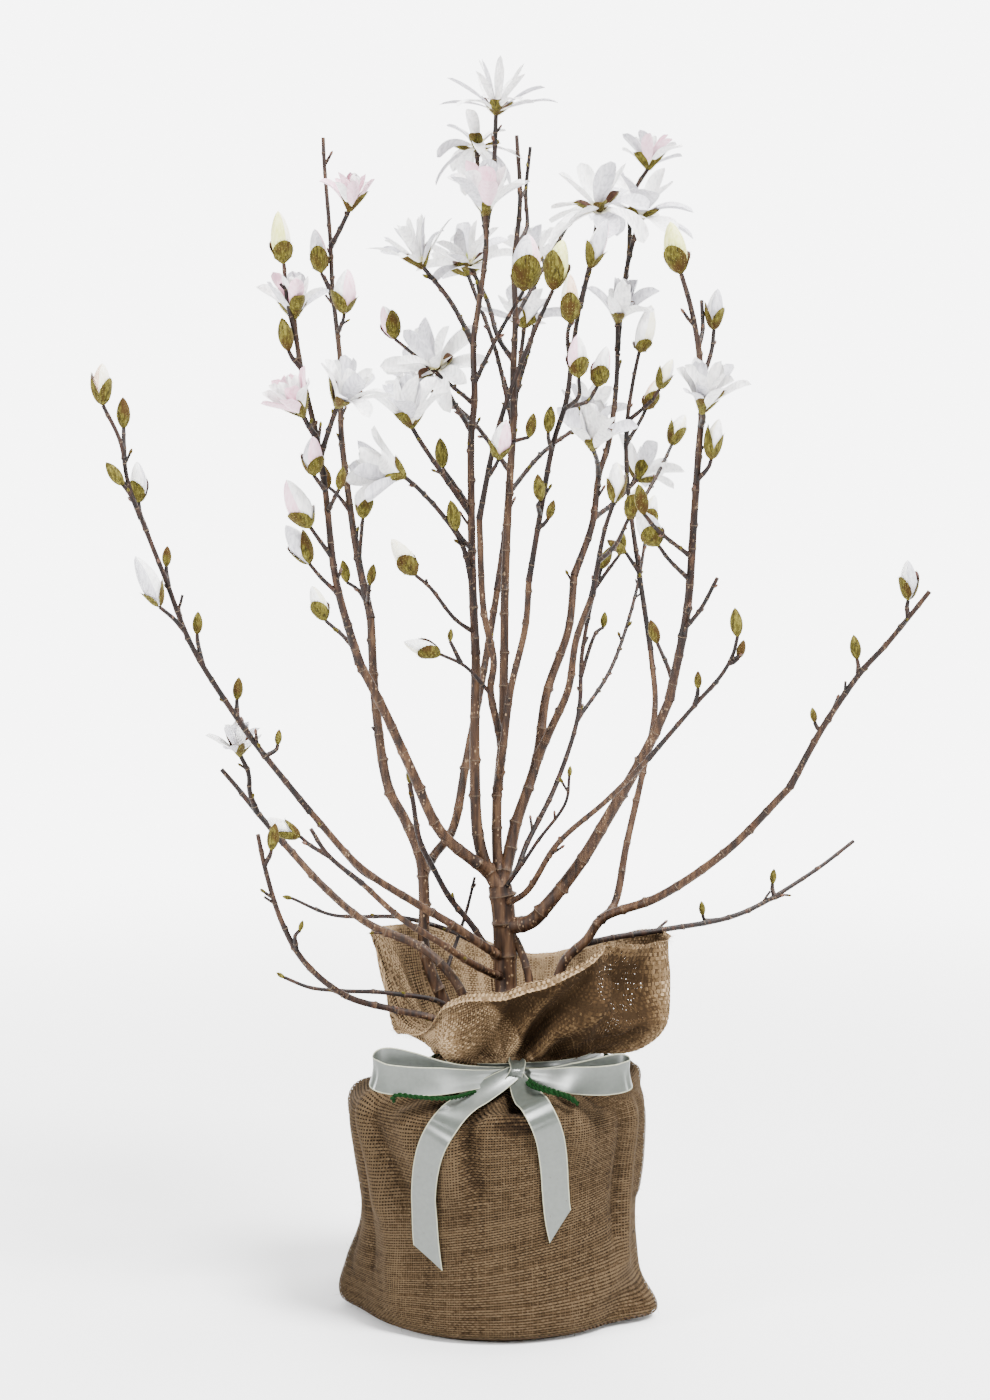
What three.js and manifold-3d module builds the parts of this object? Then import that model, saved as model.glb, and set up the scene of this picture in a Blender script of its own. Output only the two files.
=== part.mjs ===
// A star magnolia in flower, in a nursery pot that stands in a burlap sack tied with a ribbon bow.
// Millimetres, +Z up, front towards -Y. The origin is the centre of the sack's flat underside.
import * as THREE from 'three';
import { mergeVertices } from 'three/addons/utils/BufferGeometryUtils.js';
import Module from 'manifold-3d';

const wasm = await Module();
wasm.setup();

// Driving dimensions
const POT_HEIGHT = 184;
const POT_FOOT_RADIUS = 104;
const POT_TOP_RADIUS = 119.5;
const POT_RIM = 2.4;
const POT_WALL = 2;
const SOIL_DEPTH = 164;
const CLOTH = 2.6;
const GAP = 0.35;
const RIBBON_WIDTH = 25;
const RIBBON_THICK = 1.2;
const TWINE_RADIUS = 2.2;

// Heights that follow from them
const POT_FLOOR = CLOTH + GAP;
const SOIL_FLOOR = POT_FLOOR + POT_WALL + GAP;
const SOIL_TOP = SOIL_FLOOR + SOIL_DEPTH;

// The plant's places are given in the upright plane through the pot's axis, as the eye in front
// sees them: across from the trunk's line, up from the floor, and a depth behind that plane.
const EYE = new THREE.Vector3(-2, -2000, 620);
const TRUNK_LINE = 12;

function seen([across, up, depth]) {
  const flat = new THREE.Vector3(across + TRUNK_LINE, 0, up);
  return flat.sub(EYE).multiplyScalar(1 - depth / EYE.y).add(EYE);
}

function upOf(point) {
  return EYE.z + (point.z - EYE.z) / (1 - point.y / EYE.y);
}

function seeded(seed) {
  let state = seed >>> 0;
  return () => {
    state = (Math.imul(state, 1664525) + 1013904223) >>> 0;
    return state / 4294967296;
  };
}

// Solids

function toSolid(geometry) {
  const bare = geometry.clone();
  bare.deleteAttribute('normal');
  bare.deleteAttribute('uv');
  const merged = mergeVertices(bare, 1e-4);
  const solid = new wasm.Manifold(
    new wasm.Mesh({
      numProp: 3,
      vertProperties: new Float32Array(merged.attributes.position.array),
      triVerts: new Uint32Array(merged.index.array),
    }),
  );
  return solid;
}

function toGeometry(solid) {
  const mesh = solid.getMesh();
  const points = new Float32Array(mesh.numVert * 3);
  for (let i = 0; i < mesh.numVert; i++) {
    points.set(mesh.vertProperties.subarray(i * mesh.numProp, i * mesh.numProp + 3), i * 3);
  }
  const geometry = new THREE.BufferGeometry();
  geometry.setAttribute('position', new THREE.BufferAttribute(points, 3));
  geometry.setIndex(new THREE.BufferAttribute(new Uint32Array(mesh.triVerts), 1));
  geometry.computeVertexNormals();
  return geometry;
}

// A closed skin over rings of points. A ring of one point is a pole, and an end ring of more is
// closed by a fan. Each ring runs anticlockwise as seen from the end that the rings go towards.
function skin(rings) {
  const points = [];
  const faces = [];
  const firsts = rings.map((ring) => {
    const first = points.length;
    points.push(...ring);
    return first;
  });
  const around = Math.max(...rings.map((ring) => ring.length));
  for (let r = 0; r + 1 < rings.length; r++) {
    const low = rings[r].length;
    const high = rings[r + 1].length;
    for (let i = 0; i < around; i++) {
      const j = (i + 1) % around;
      const a = firsts[r] + (low === 1 ? 0 : i);
      const b = firsts[r] + (low === 1 ? 0 : j);
      const c = firsts[r + 1] + (high === 1 ? 0 : j);
      const d = firsts[r + 1] + (high === 1 ? 0 : i);
      if (low > 1) faces.push(a, b, c);
      if (high > 1) faces.push(a, c, d);
    }
  }
  const last = rings.length - 1;
  for (let i = 1; i + 1 < rings[0].length; i++) {
    faces.push(firsts[0], firsts[0] + i + 1, firsts[0] + i);
  }
  for (let i = 1; i + 1 < rings[last].length; i++) {
    faces.push(firsts[last], firsts[last] + i, firsts[last] + i + 1);
  }
  const geometry = new THREE.BufferGeometry();
  geometry.setAttribute('position', new THREE.Float32BufferAttribute(points.flatMap((p) => p.toArray()), 3));
  geometry.setIndex(faces);
  return toSolid(geometry);
}

function largest(solid) {
  const bodies = solid.decompose();
  bodies.sort((a, b) => b.volume() - a.volume());
  return bodies[0];
}

function boxesMeet(a, b) {
  return [0, 1, 2].every((k) => a.min[k] <= b.max[k] && b.min[k] <= a.max[k]);
}

function touches(a, b) {
  if (!boxesMeet(a.boundingBox(), b.boundingBox())) return false;
  return !a.intersect(b).isEmpty();
}

// Two directions square to an axis
function squareTo(axis) {
  const start = Math.abs(axis.z) < 0.9 ? new THREE.Vector3(0, 0, 1) : new THREE.Vector3(1, 0, 0);
  const u = new THREE.Vector3().crossVectors(start, axis).normalize();
  const v = new THREE.Vector3().crossVectors(axis, u).normalize();
  return [u, v];
}

function ring(centre, u, v, radius, count, turn = 0) {
  return Array.from({ length: count }, (_, i) => {
    const angle = turn + (i / count) * 2 * Math.PI;
    return centre
      .clone()
      .addScaledVector(u, radius * Math.cos(angle))
      .addScaledVector(v, radius * Math.sin(angle));
  });
}

// A limb's tube: radii are spread evenly from its foot to its tip.
function tube(curve, radii, sides, steps, extra = 0) {
  const frames = curve.computeFrenetFrames(steps);
  const rings = [];
  for (let i = 0; i <= steps; i++) {
    const s = (i / steps) * (radii.length - 1);
    const k = Math.min(Math.floor(s), radii.length - 2);
    const radius = THREE.MathUtils.lerp(radii[k], radii[k + 1], s - k) + extra;
    rings.push(ring(curve.getPointAt(i / steps), frames.normals[i], frames.binormals[i], radius, sides));
  }
  return skin(rings);
}

function egg(foot, axis, length, width, sides, extra = 0) {
  const [u, v] = squareTo(axis);
  const at = (s) => foot.clone().addScaledVector(axis, s);
  return skin([
    [at(-2.5 - extra)],
    ring(at(length * 0.34), u, v, width / 2 + extra, sides),
    ring(at(length * 0.72), u, v, width * 0.36 + extra, sides),
    [at(length + extra)],
  ]);
}

// A flower is one skin: from its core each petal rises, bends outwards and ends in a point. Its
// inner and outer faces meet along the petals' edges.
function flower(foot, axis, turn, length, open, lifts, extra = 0) {
  const [u, v] = squareTo(axis);
  const out = (angle) => u.clone().multiplyScalar(Math.cos(angle)).addScaledVector(v, Math.sin(angle));
  const count = lifts.length;
  const edge = [];
  for (let i = 0; i < count; i++) {
    const azimuth = turn + (i / count) * 2 * Math.PI;
    const valley = azimuth - Math.PI / count;
    const lift = open * lifts[i];
    const spread = lift * 1.3 - 0.12;
    const heading = (angle) =>
      axis.clone().multiplyScalar(Math.cos(angle)).addScaledVector(out(azimuth), Math.sin(angle));
    const side = new THREE.Vector3().crossVectors(axis, out(azimuth)).normalize();
    const middle = foot.clone().addScaledVector(heading(lift), length * 0.56);
    const tip = middle.clone().addScaledVector(heading(spread), length * 0.44 + extra);
    const half = length * 0.15 + extra;
    edge.push(foot.clone().addScaledVector(out(valley), 3.4 + extra).addScaledVector(axis, 3));
    edge.push(middle.clone().addScaledVector(side, -half));
    edge.push(tip);
    edge.push(middle.clone().addScaledVector(side, half));
  }
  const low = foot.clone().addScaledVector(axis, -4 - extra);
  const high = foot.clone().addScaledVector(axis, 8 + extra);
  return skin([[low], edge, [high]]);
}

// Limbs

const GOLDEN = THREE.MathUtils.degToRad(137.5);
const limbs = new Map();

function heightOn(curve, up) {
  let low = 0;
  let high = 1;
  for (let i = 0; i < 30; i++) {
    const middle = (low + high) / 2;
    if (upOf(curve.getPointAt(middle)) < up) low = middle;
    else high = middle;
  }
  return (low + high) / 2;
}

function curveFrom(start, via) {
  return new THREE.CatmullRomCurve3([start, ...via.map(seen)], false, 'centripetal');
}

// Where a child limb begins: inside its parent at a height, or at the parent's tip.
function footOn(parent, up) {
  const t = up === null ? 1 : heightOn(parent.curve, up);
  return parent.curve.getPointAt(t);
}

// The parts of a limb's neighbours that it has to be cut clear of
function clearOf(solid, others) {
  let cut = solid;
  for (const other of others) {
    if (boxesMeet(cut.boundingBox(), other.boundingBox())) cut = cut.subtract(other);
  }
  return largest(cut);
}

function trimAtSoil(solid) {
  const box = new THREE.BoxGeometry(400, 400, 400);
  box.translate(0, 0, SOIL_TOP + GAP - 200);
  return solid.subtract(toSolid(box));
}

function addLimb({ name, on, at, via, radii, sides = 5, stepLength = 40 }) {
  const parent = limbs.get(on);
  const curve = parent ? curveFrom(footOn(parent, at), via) : curveFrom(seen(via[0]), via.slice(1));
  const steps = Math.max(3, Math.round(curve.getLength() / stepLength));
  let solid = tube(curve, radii, sides, steps);
  if (!parent) solid = trimAtSoil(solid);
  solid = clearOf(solid, [...limbs.values()].map((limb) => limb.grown));
  const grown = tube(curve, radii, sides, steps, GAP + 0.1);
  limbs.set(name, { name, curve, radii, solid, grown });
}

// The main limbs: what each grows on and at what height, the places that it passes, and its
// radius from foot to tip. A limb on nothing comes up out of the soil.
const BOUGHS = [
  { name: 'trunk', via: [[-1, 166, 0], [-2, 225, 0], [-4, 288, 0], [-6, 344, 0], [-10, 374, 0]],
    radii: [14, 9, 9.4, 10.4, 10.6], sides: 9, stepLength: 26 },
  { name: 'side_stem', via: [[22, 166, -8], [20, 235, -8], [16, 292, -6], [8, 318, -2], [-5, 340, 0]],
    radii: [4.6, 3.6, 3.8] },
  { name: 'left_leader', on: 'trunk', at: 371,
    via: [[-21, 390, -2], [-29, 419, -4], [-32, 500, -8], [-31, 580, -12]], radii: [6, 5, 4.4, 4] },
  { name: 'centre_leader', on: 'trunk', at: 370,
    via: [[-12, 406, 6], [-12, 455, 10], [-8, 500, 14], [-6, 575, 18], [-5, 640, 22], [-2, 717, 26],
      [3, 790, 30]],
    radii: [5, 4.2, 4, 3.6, 3.2] },
  { name: 'right_leader', on: 'trunk', at: 370,
    via: [[-2, 400, 8], [4, 428, 14], [23, 486, 26], [32, 546, 38], [51, 602, 48], [56, 650, 56]],
    radii: [6.4, 5, 4.4, 3.8, 3.5] },
  { name: 'left_bough', on: 'left_leader', at: 388,
    via: [[-32, 396, -15], [-62, 422, -32], [-88, 477, -54], [-113, 531, -74], [-134, 572, -90]],
    radii: [5.6, 4.6, 4.2, 3.8] },
  { name: 'right_bough', on: 'trunk', at: 336,
    via: [[17, 342, -12], [30, 354, -20], [61, 393, -38], [85, 433, -54], [123, 500, -80], [141, 540, -94]],
    radii: [7.4, 5.8, 5.2, 4.6, 4] },
  { name: 'red_stem', on: 'centre_leader', at: 499,
    via: [[-12, 517, 0], [-18, 549, -14], [-15, 574, -24], [-24, 619, -34], [-28, 700, -44]],
    radii: [3.6, 3, 2.8] },
  { name: 'dark_stem', on: 'centre_leader', at: 459,
    via: [[-7, 495, -8], [0, 549, -14], [13, 605, -24], [16, 645, -32]], radii: [3.8, 3.2, 2.8] },
  { name: 'back_left_stem',
    via: [[-28, 166, 18], [-33, 226, 18], [-40, 242, 19], [-60, 272, 21], [-77, 317, 22], [-77, 356, 24],
      [-80, 397, 26], [-94, 433, 30], [-108, 460, 34], [-120, 535, 46], [-124, 612, 62]],
    radii: [6, 5.4, 5, 4.4, 3.8] },
  { name: 'back_stem', on: 'back_left_stem', at: 384,
    via: [[-68, 402, 40], [-52, 424, 52], [-40, 482, 66], [-24, 566, 86], [-12, 637, 104]],
    radii: [4.4, 3.8, 3.2] },
  { name: 'right_fork', on: 'right_leader', at: 487,
    via: [[36, 515, 16], [51, 549, 0], [58, 593, -14], [72, 632, -28]], radii: [4, 3.3, 2.9] },
  { name: 'far_right_bough',
    via: [[36, 166, 12], [38, 225, 8], [46, 303, 2], [68, 326, -4], [82, 345, -8], [131, 364, -20],
      [193, 406, -34], [248, 462, -50]],
    radii: [4.8, 4.4, 3.8, 3.2] },
  { name: 'right_shoot', on: 'far_right_bough', at: 343,
    via: [[92, 357, 6], [103, 411, 20], [116, 469, 34], [128, 533, 48], [124, 584, 58]],
    radii: [3.6, 3, 2.6] },
  { name: 'thin_right_shoot', on: 'trunk', at: 356,
    via: [[13, 368, -30], [42, 412, -76], [86, 451, -124], [122, 487, -154]], radii: [3, 2.4, 2.2] },
  { name: 'far_left_bough', on: 'trunk', at: 306,
    via: [[-24, 320, -22], [-50, 338, -36], [-85, 359, -52], [-134, 391, -76], [-178, 440, -96]],
    radii: [4.2, 3.6, 3.2, 2.8] },
  { name: 'left_low_bough',
    via: [[-18, 166, -12], [-26, 225, -14], [-46, 283, -10], [-77, 317, -6], [-128, 341, 0],
      [-166, 373, 4], [-201, 411, 8]],
    radii: [4.6, 4.2, 3.6, 3] },
  { name: 'left_middle_bough', on: 'trunk', at: 290,
    via: [[-32, 303, -36], [-63, 323, -64], [-99, 346, -86], [-132, 376, -102]], radii: [3.6, 2.9, 2.4] },
];

// Growth at a limb's end. A bud is furred and shut, a swollen bud shows its petals, and a bloom is
// open by a share of a right angle. Each faces a direction and has a length.
const bud = (faces, length) => ({ kind: 'bud', faces, length, wide: 0.52 });
const swollen = (faces, length) => ({ kind: 'swollen', faces, length, wide: 0.5 });
const bloom = (faces, length, open) => ({ kind: 'bloom', faces, length, open });
const cut = { kind: 'cut' };

// The masses of twigs. Each has one stem, from a bough's tip or side, and twigs that leave the
// stem at a height. The stem and every twig end in their own growth.
const SPRAYS = [
  { name: 'left_leader_spray', on: 'left_leader', at: null, radii: [4, 3.2, 2.2],
    via: [[-34, 646, -15], [-35, 717, -18], [-35, 773, -20], [-32, 805, -20], [-33, 856, -20],
      [-29, 884, -18], [-22, 936, -15], [-22, 968, -14]],
    end: bloom([0, -0.3, 1], 50, 0.42),
    twigs: [
      [598, [[-50, 612, -30], [-72, 640, -42], [-84, 650, -46]], swollen([-0.55, 0, 0.83], 36)],
      [637, [[-43, 677, -28], [-60, 703, -42], [-82, 727, -54], [-95, 738, -58]],
        bloom([-1, -0.3, 0.3], 50, 0.45)],
      [672, [[-44, 684, -34], [-48, 690, -38]], bud([-0.2, -0.2, 1], 28)],
      [701, [[-54, 730, -36], [-81, 770, -52], [-88, 782, -56]], bloom([-0.1, -0.3, 1], 58, 0.42)],
      [706, [[-48, 728, -4], [-60, 745, 4]], bud([-0.1, 0, 1], 28)],
      [776, [[-54, 809, 14], [-64, 832, 26]], bloom([-0.35, -0.85, 0.5], 48, 0.85)],
      [800, [[-75, 836, 26], [-102, 858, 34]], swollen([-0.3, 0, 1], 32)],
      [818, [[-11, 862, -40], [11, 903, -52]], swollen([0.1, 0, 1], 40)],
      [854, [[-54, 892, 8], [-78, 922, 18]], bloom([-0.45, -0.2, 0.85], 48, 0.6)],
      [956, [[-16, 990, 10], [-13, 1056, 14]], bloom([0.05, -0.1, 1], 62, 0.5)],
      [950, [[-28, 990, 34], [-30, 1024, 44]], bloom([0, 0.2, 1], 46, 1.0)],
    ] },
  { name: 'centre_spray', on: 'centre_leader', at: null, radii: [3.2, 2.6, 1.8],
    via: [[2, 822, 30], [4, 875, 30], [3, 923, 32], [8, 980, 34], [5, 1036, 36]],
    end: cut,
    twigs: [
      [838, [[-11, 859, 42], [-21, 892, 60], [-36, 922, 76]], bloom([-0.2, -0.5, 0.8], 46, 0.8)],
      [876, [[30, 923, 58], [49, 956, 72]], bud([0.4, 0, 0.9], 20)],
      [938, [[14, 956, 48], [13, 985, 54], [17, 1026, 56]], cut],
    ] },
  { name: 'red_spray', on: 'red_stem', at: null, radii: [2.8, 2.2, 1.8],
    via: [[-15, 765, -56], [-4, 803, -62], [3, 822, -66], [25, 875, -74], [37, 901, -78]],
    end: swollen([0.15, 0, 1], 44),
    twigs: [
      [735, [[-14, 746, -64], [-11, 752, -68]], swollen([0.1, -0.2, 1], 34)],
      [762, [[8, 770, -66], [16, 772, -70]], bud([0.2, 0, 1], 22)],
    ] },
  { name: 'dark_spray', on: 'dark_stem', at: null, radii: [2.8, 2.4, 1.8],
    via: [[26, 704, -42], [37, 765, -52], [49, 805, -58], [55, 853, -62], [62, 892, -66], [70, 920, -68]],
    end: swollen([0.25, 0, 1], 44),
    twigs: [
      [690, [[30, 696, -50], [33, 700, -54]], bud([0.3, 0, 1], 18)],
      [704, [[24, 712, -60], [26, 716, -64]], bud([-0.1, 0, 1], 24)],
      [760, [[33, 772, -66], [33, 776, -70]], bud([0.1, 0, 1], 24)],
      [796, [[60, 808, -80], [60, 824, -84]], swollen([-0.1, 0, 1], 36)],
      [798, [[68, 804, -36], [76, 816, -30]], swollen([0.2, 0, 1], 36)],
      [832, [[50, 862, -84], [52, 872, -88]], swollen([0, 0, 1], 42)],
      [885, [[72, 935, -40], [77, 970, -30]], bloom([-0.1, -0.35, 0.9], 56, 0.75)],
    ] },
  { name: 'back_left_spray', on: 'back_left_stem', at: null, radii: [3.8, 3, 2.2, 1.8],
    via: [[-135, 664, 76], [-143, 717, 90], [-150, 778, 104], [-150, 831, 114], [-157, 901, 124],
      [-159, 945, 128], [-164, 1010, 132], [-165, 1034, 134]],
    end: cut,
    twigs: [
      [622, [[-136, 638, 80], [-145, 644, 84]], bud([-0.2, 0, 1], 22)],
      [625, [[-126, 634, 48], [-125, 642, 44]], bud([0.2, 0, 1], 20)],
      [660, [[-132, 690, 66], [-131, 700, 64]], swollen([0.05, 0, 1], 34)],
      [704, [[-154, 722, 82], [-161, 728, 80]], bud([-0.3, 0, 1], 24)],
      [862, [[-148, 874, 104], [-147, 880, 100]], swollen([0, 0, 1], 42)],
      [888, [[-163, 908, 118], [-167, 916, 116]], swollen([-0.15, 0, 1], 42)],
      [938, [[-150, 955, 112], [-142, 972, 104]], bloom([0.1, -0.25, 1], 42, 0.6)],
    ] },
  { name: 'back_spray', on: 'back_stem', at: null, radii: [3.2, 2.6, 2],
    via: [[-5, 690, 118], [0, 760, 138], [6, 820, 154], [12, 870, 164]],
    end: bloom([0, 0.2, 1], 42, 0.7),
    twigs: [
      [742, [[-38, 790, 178], [-78, 818, 214]], bloom([-0.2, 0.4, 0.9], 44, 0.7)],
      [780, [[-14, 850, 184], [-38, 915, 206]], bloom([-0.1, 0.4, 0.9], 44, 0.6)],
      [812, [[22, 880, 190], [18, 925, 204]], bloom([0.1, 0.2, 1], 42, 0.6)],
      [720, [[30, 760, 176], [66, 785, 206]], bloom([0.3, 0.4, 0.9], 44, 0.5)],
    ] },
  { name: 'left_spray', on: 'left_bough', at: null, radii: [3.8, 3, 2.4, 2],
    via: [[-155, 646, -114], [-164, 725, -136], [-171, 770, -147], [-183, 822, -156], [-189, 857, -160],
      [-191, 878, -163]],
    end: bloom([0, -0.2, 1], 44, 0.5),
    twigs: [
      [584, [[-148, 596, -86], [-164, 610, -80]], swollen([-0.4, 0, 0.9], 32)],
      [631, [[-168, 648, -118], [-178, 660, -122]], swollen([-0.45, 0, 0.9], 38)],
      [664, [[-170, 682, -136], [-177, 692, -142]], swollen([-0.5, -0.1, 0.85], 44)],
      [704, [[-155, 720, -150], [-152, 726, -153]], bud([0.2, 0, 1], 20)],
      [724, [[-171, 734, -152], [-174, 738, -156]], swollen([-0.1, 0, 1], 32)],
      [754, [[-158, 786, -162], [-153, 800, -170]], bloom([0.55, -0.4, 0.75], 48, 0.5)],
      [770, [[-180, 784, -164], [-184, 792, -172]], bloom([-0.4, -0.4, 0.8], 38, 0.35)],
      [832, [[-193, 842, -166], [-196, 848, -170]], bud([-0.2, 0, 1], 28)],
      [856, [[-197, 892, -172], [-200, 924, -176]], swollen([-0.15, 0, 1], 42)],
    ] },
  { name: 'right_leader_spray', on: 'right_leader', at: null, radii: [3.5, 2.8, 2],
    via: [[72, 695, 64], [78, 739, 70], [86, 765, 76], [93, 818, 82], [94, 874, 86]],
    end: bloom([0.15, -0.4, 0.9], 48, 0.6),
    twigs: [
      [736, [[76, 752, 44], [72, 762, 20]], bloom([0.05, -0.45, 0.9], 60, 0.5)],
      [848, [[98, 892, 100], [102, 920, 106], [113, 964, 110]], bloom([0.1, -0.3, 1], 58, 0.7)],
      [868, [[103, 925, 122], [108, 985, 134], [121, 1008, 138]], bloom([0.1, 0.1, 1], 36, 0.45)],
      [700, [[92, 715, 100], [112, 735, 140]], bloom([0.4, 0.5, 0.8], 42, 0.5)],
    ] },
  { name: 'right_fork_spray', on: 'right_fork', at: null, radii: [2.8, 2.2, 1.9],
    via: [[83, 690, -38], [91, 714, -42]],
    end: swollen([0.15, 0, 1], 36),
    twigs: [
      [660, [[92, 676, -60], [104, 700, -84]], swollen([0.3, -0.3, 0.9], 32)],
    ] },
  { name: 'right_spray', on: 'right_bough', at: null, radii: [4, 3.4, 2.8, 2],
    via: [[156, 619, -114], [162, 699, -132], [166, 761, -142], [169, 805, -147], [165, 853, -150],
      [158, 888, -150], [150, 915, -150]],
    end: swollen([-0.25, 0, 1], 44),
    twigs: [
      [556, [[138, 572, -90], [130, 590, -84]], bud([-0.3, 0, 1], 22)],
      [600, [[168, 620, -130], [183, 648, -140]], cut],
      [643, [[140, 664, -136], [131, 676, -144]], swollen([-0.5, 0, 0.85], 34)],
      [664, [[130, 690, -156], [118, 704, -164]], bud([-0.2, 0, 1], 26)],
      [733, [[175, 746, -148], [177, 752, -151]], swollen([0.1, 0, 1], 34)],
      [780, [[170, 790, -166], [169, 795, -172]], bloom([0.1, -0.5, 0.8], 48, 0.48)],
      [850, [[169, 866, -138], [168, 892, -132]], cut],
      [820, [[177, 848, -138], [179, 866, -134]], swollen([0, 0, 1], 34)],
    ] },
  { name: 'right_shoot_spray', on: 'right_shoot', at: null, radii: [2.6, 2.2, 1.8],
    via: [[114, 650, 68], [103, 734, 80], [102, 778, 84], [108, 822, 90], [113, 846, 92]],
    end: swollen([0.3, 0, 0.95], 46),
    twigs: [
      [652, [[106, 664, 62], [102, 670, 60]], bud([-0.6, 0, 0.4], 22)],
      [764, [[114, 786, 96], [119, 796, 98]], swollen([0.4, 0, 0.9], 32)],
      [784, [[124, 804, 72], [131, 814, 66]], swollen([0.3, -0.2, 0.9], 30)],
      [700, [[130, 740, 130], [142, 765, 152]], swollen([0.3, 0.4, 0.9], 36)],
    ] },
  { name: 'thin_right_spray', on: 'thin_right_shoot', at: null, radii: [2.2, 1.8, 1.5],
    via: [[165, 537, -184], [187, 562, -198], [197, 580, -206], [201, 596, -210]],
    end: bud([-0.1, 0, 1], 24),
    twigs: [
      [534, [[166, 546, -188], [166, 550, -188]], bud([0, 0, 1], 15)],
      [572, [[199, 574, -206], [202, 577, -206]], bud([0.3, 0, 1], 16)],
    ] },
  { name: 'inner_right_spray', on: 'trunk', at: 372, radii: [2.8, 2.2, 1.8],
    via: [[5, 388, 24], [14, 411, 40], [40, 464, 66], [60, 527, 90], [63, 580, 104], [72, 628, 116],
      [80, 656, 124]],
    end: bud([0.4, 0, 0.9], 24),
    twigs: [
      [640, [[90, 660, 110], [96, 668, 106]], bud([0.2, 0, 1], 22)],
      [560, [[76, 600, 120], [82, 604, 124]], bud([0.1, 0, 1], 16)],
      [520, [[90, 570, 150], [112, 640, 196], [120, 690, 216]], swollen([0.2, 0.2, 1], 36)],
    ] },
  { name: 'short_right_spray', on: 'trunk', at: 366, radii: [2, 1.6, 1.3],
    via: [[12, 396, -26], [24, 414, -36], [49, 449, -58], [52, 472, -64]],
    end: bud([0.1, 0, 1], 10),
    twigs: [] },
  { name: 'far_right_spray', on: 'far_right_bough', at: null, radii: [3.2, 2.6, 2],
    via: [[277, 515, -64], [311, 565, -78], [332, 588, -86], [355, 616, -94], [371, 636, -98]],
    end: cut,
    twigs: [
      [512, [[271, 516, -60], [270, 520, -60]], bud([-0.2, 0, 1], 14)],
      [560, [[308, 572, -74], [307, 576, -74]], bud([-0.15, 0, 1], 22)],
      [612, [[351, 622, -90], [352, 628, -90]], swollen([0.05, 0, 1], 34)],
    ] },
  { name: 'low_right_spray', on: 'far_right_bough', at: 321, radii: [2.8, 2.3, 1.7],
    via: [[92, 328, 14], [137, 335, 26], [204, 349, 62], [268, 386, 102], [305, 414, 126]],
    end: cut,
    twigs: [
      [343, [[172, 344, 48], [171, 348, 48]], bud([-0.1, 0, 1], 14)],
      [364, [[233, 371, 84], [233, 376, 84]], bud([0.1, 0, 1], 15)],
    ] },
  { name: 'far_left_spray', on: 'far_left_bough', at: null, radii: [2.8, 2.4, 2, 1.6],
    via: [[-227, 501, -114], [-248, 531, -122], [-283, 588, -134], [-307, 650, -144], [-320, 683, -150],
      [-338, 730, -156], [-345, 768, -160], [-360, 800, -164]],
    end: swollen([-0.1, 0, 1], 34),
    twigs: [
      [488, [[-208, 496, -104], [-207, 500, -104]], bud([0.1, 0, 1], 14)],
      [522, [[-243, 536, -114], [-243, 540, -114]], bud([0.1, 0, 1], 20)],
      [570, [[-278, 594, -126], [-278, 598, -126]], bud([0.05, 0, 1], 20)],
      [600, [[-300, 613, -150], [-311, 622, -154]], swollen([-0.35, 0, 0.95], 46)],
      [640, [[-305, 654, -138], [-305, 658, -138]], bud([0.05, 0, 1], 18)],
      [700, [[-337, 722, -160], [-343, 730, -164]], bud([-0.6, 0, 0.8], 24)],
      [690, [[-328, 706, -144], [-329, 714, -142]], swollen([0, 0, 1], 34)],
      [752, [[-342, 772, -154], [-342, 780, -152]], bud([0, 0, 1], 26)],
    ] },
  { name: 'left_low_spray', on: 'left_low_bough', at: null, radii: [3, 2.4, 2],
    via: [[-229, 444, 10], [-244, 463, 12], [-257, 478, 14]],
    end: cut,
    twigs: [
      [440, [[-232, 458, 0], [-233, 474, -4], [-241, 492, -8]], bloom([-0.05, -0.3, 1], 30, 0.45)],
    ] },
  { name: 'left_middle_spray', on: 'left_middle_bough', at: null, radii: [2.4, 2, 1.7],
    via: [[-163, 402, -114], [-178, 425, -120]],
    end: cut,
    twigs: [
      [400, [[-178, 410, -104], [-187, 418, -100]], swollen([-0.9, 0, 0.4], 32)],
    ] },
  { name: 'left_short_spray', on: 'far_left_bough', at: 366, radii: [2, 1.6, 1.3],
    via: [[-115, 376, -46], [-133, 386, -36], [-150, 404, -32]],
    end: bud([-0.2, 0, 1], 10),
    twigs: [] },
  { name: 'left_level_spray', on: 'trunk', at: 314, radii: [2.4, 2, 1.4],
    via: [[-32, 324, 16], [-59, 336, 34], [-99, 346, 54], [-159, 348, 84], [-195, 363, 98]],
    end: bud([-1, 0, 0.2], 10),
    twigs: [] },
  { name: 'low_left_spray', radii: [3.2, 3, 2.6, 1.9],
    via: [[-30, 166, -16], [-32, 225, -20], [-44, 243, -27], [-71, 256, -36], [-103, 263, -40],
      [-146, 275, -60], [-183, 305, -80], [-204, 342, -94], [-219, 391, -108], [-225, 420, -114]],
    end: cut,
    twigs: [
      [392, [[-214, 402, -112], [-213, 406, -114]], bud([0.15, 0, 1], 24)],
      [316, [[-192, 330, -96], [-188, 334, -100]], bud([0.3, 0, 1], 10)],
    ] },
  { name: 'low_level_spray', radii: [2.4, 2.2, 2, 1.5],
    via: [[-32, 166, 1], [-34, 226, -1], [-56, 266, -10], [-108, 278, -24], [-150, 280, -30],
      [-179, 283, -36], [-202, 292, -42]],
    end: bud([-0.8, 0, 0.5], 9),
    twigs: [] },
  { name: 'inner_left_spray', on: 'trunk', at: 300, radii: [3, 2.6, 2.2],
    via: [[-20, 318, 4], [-36, 341, 2], [-54, 363, -4], [-68, 388, -10], [-81, 415, -12],
      [-87, 450, -14], [-90, 466, -14]],
    end: bud([0.1, 0, 1], 18),
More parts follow.
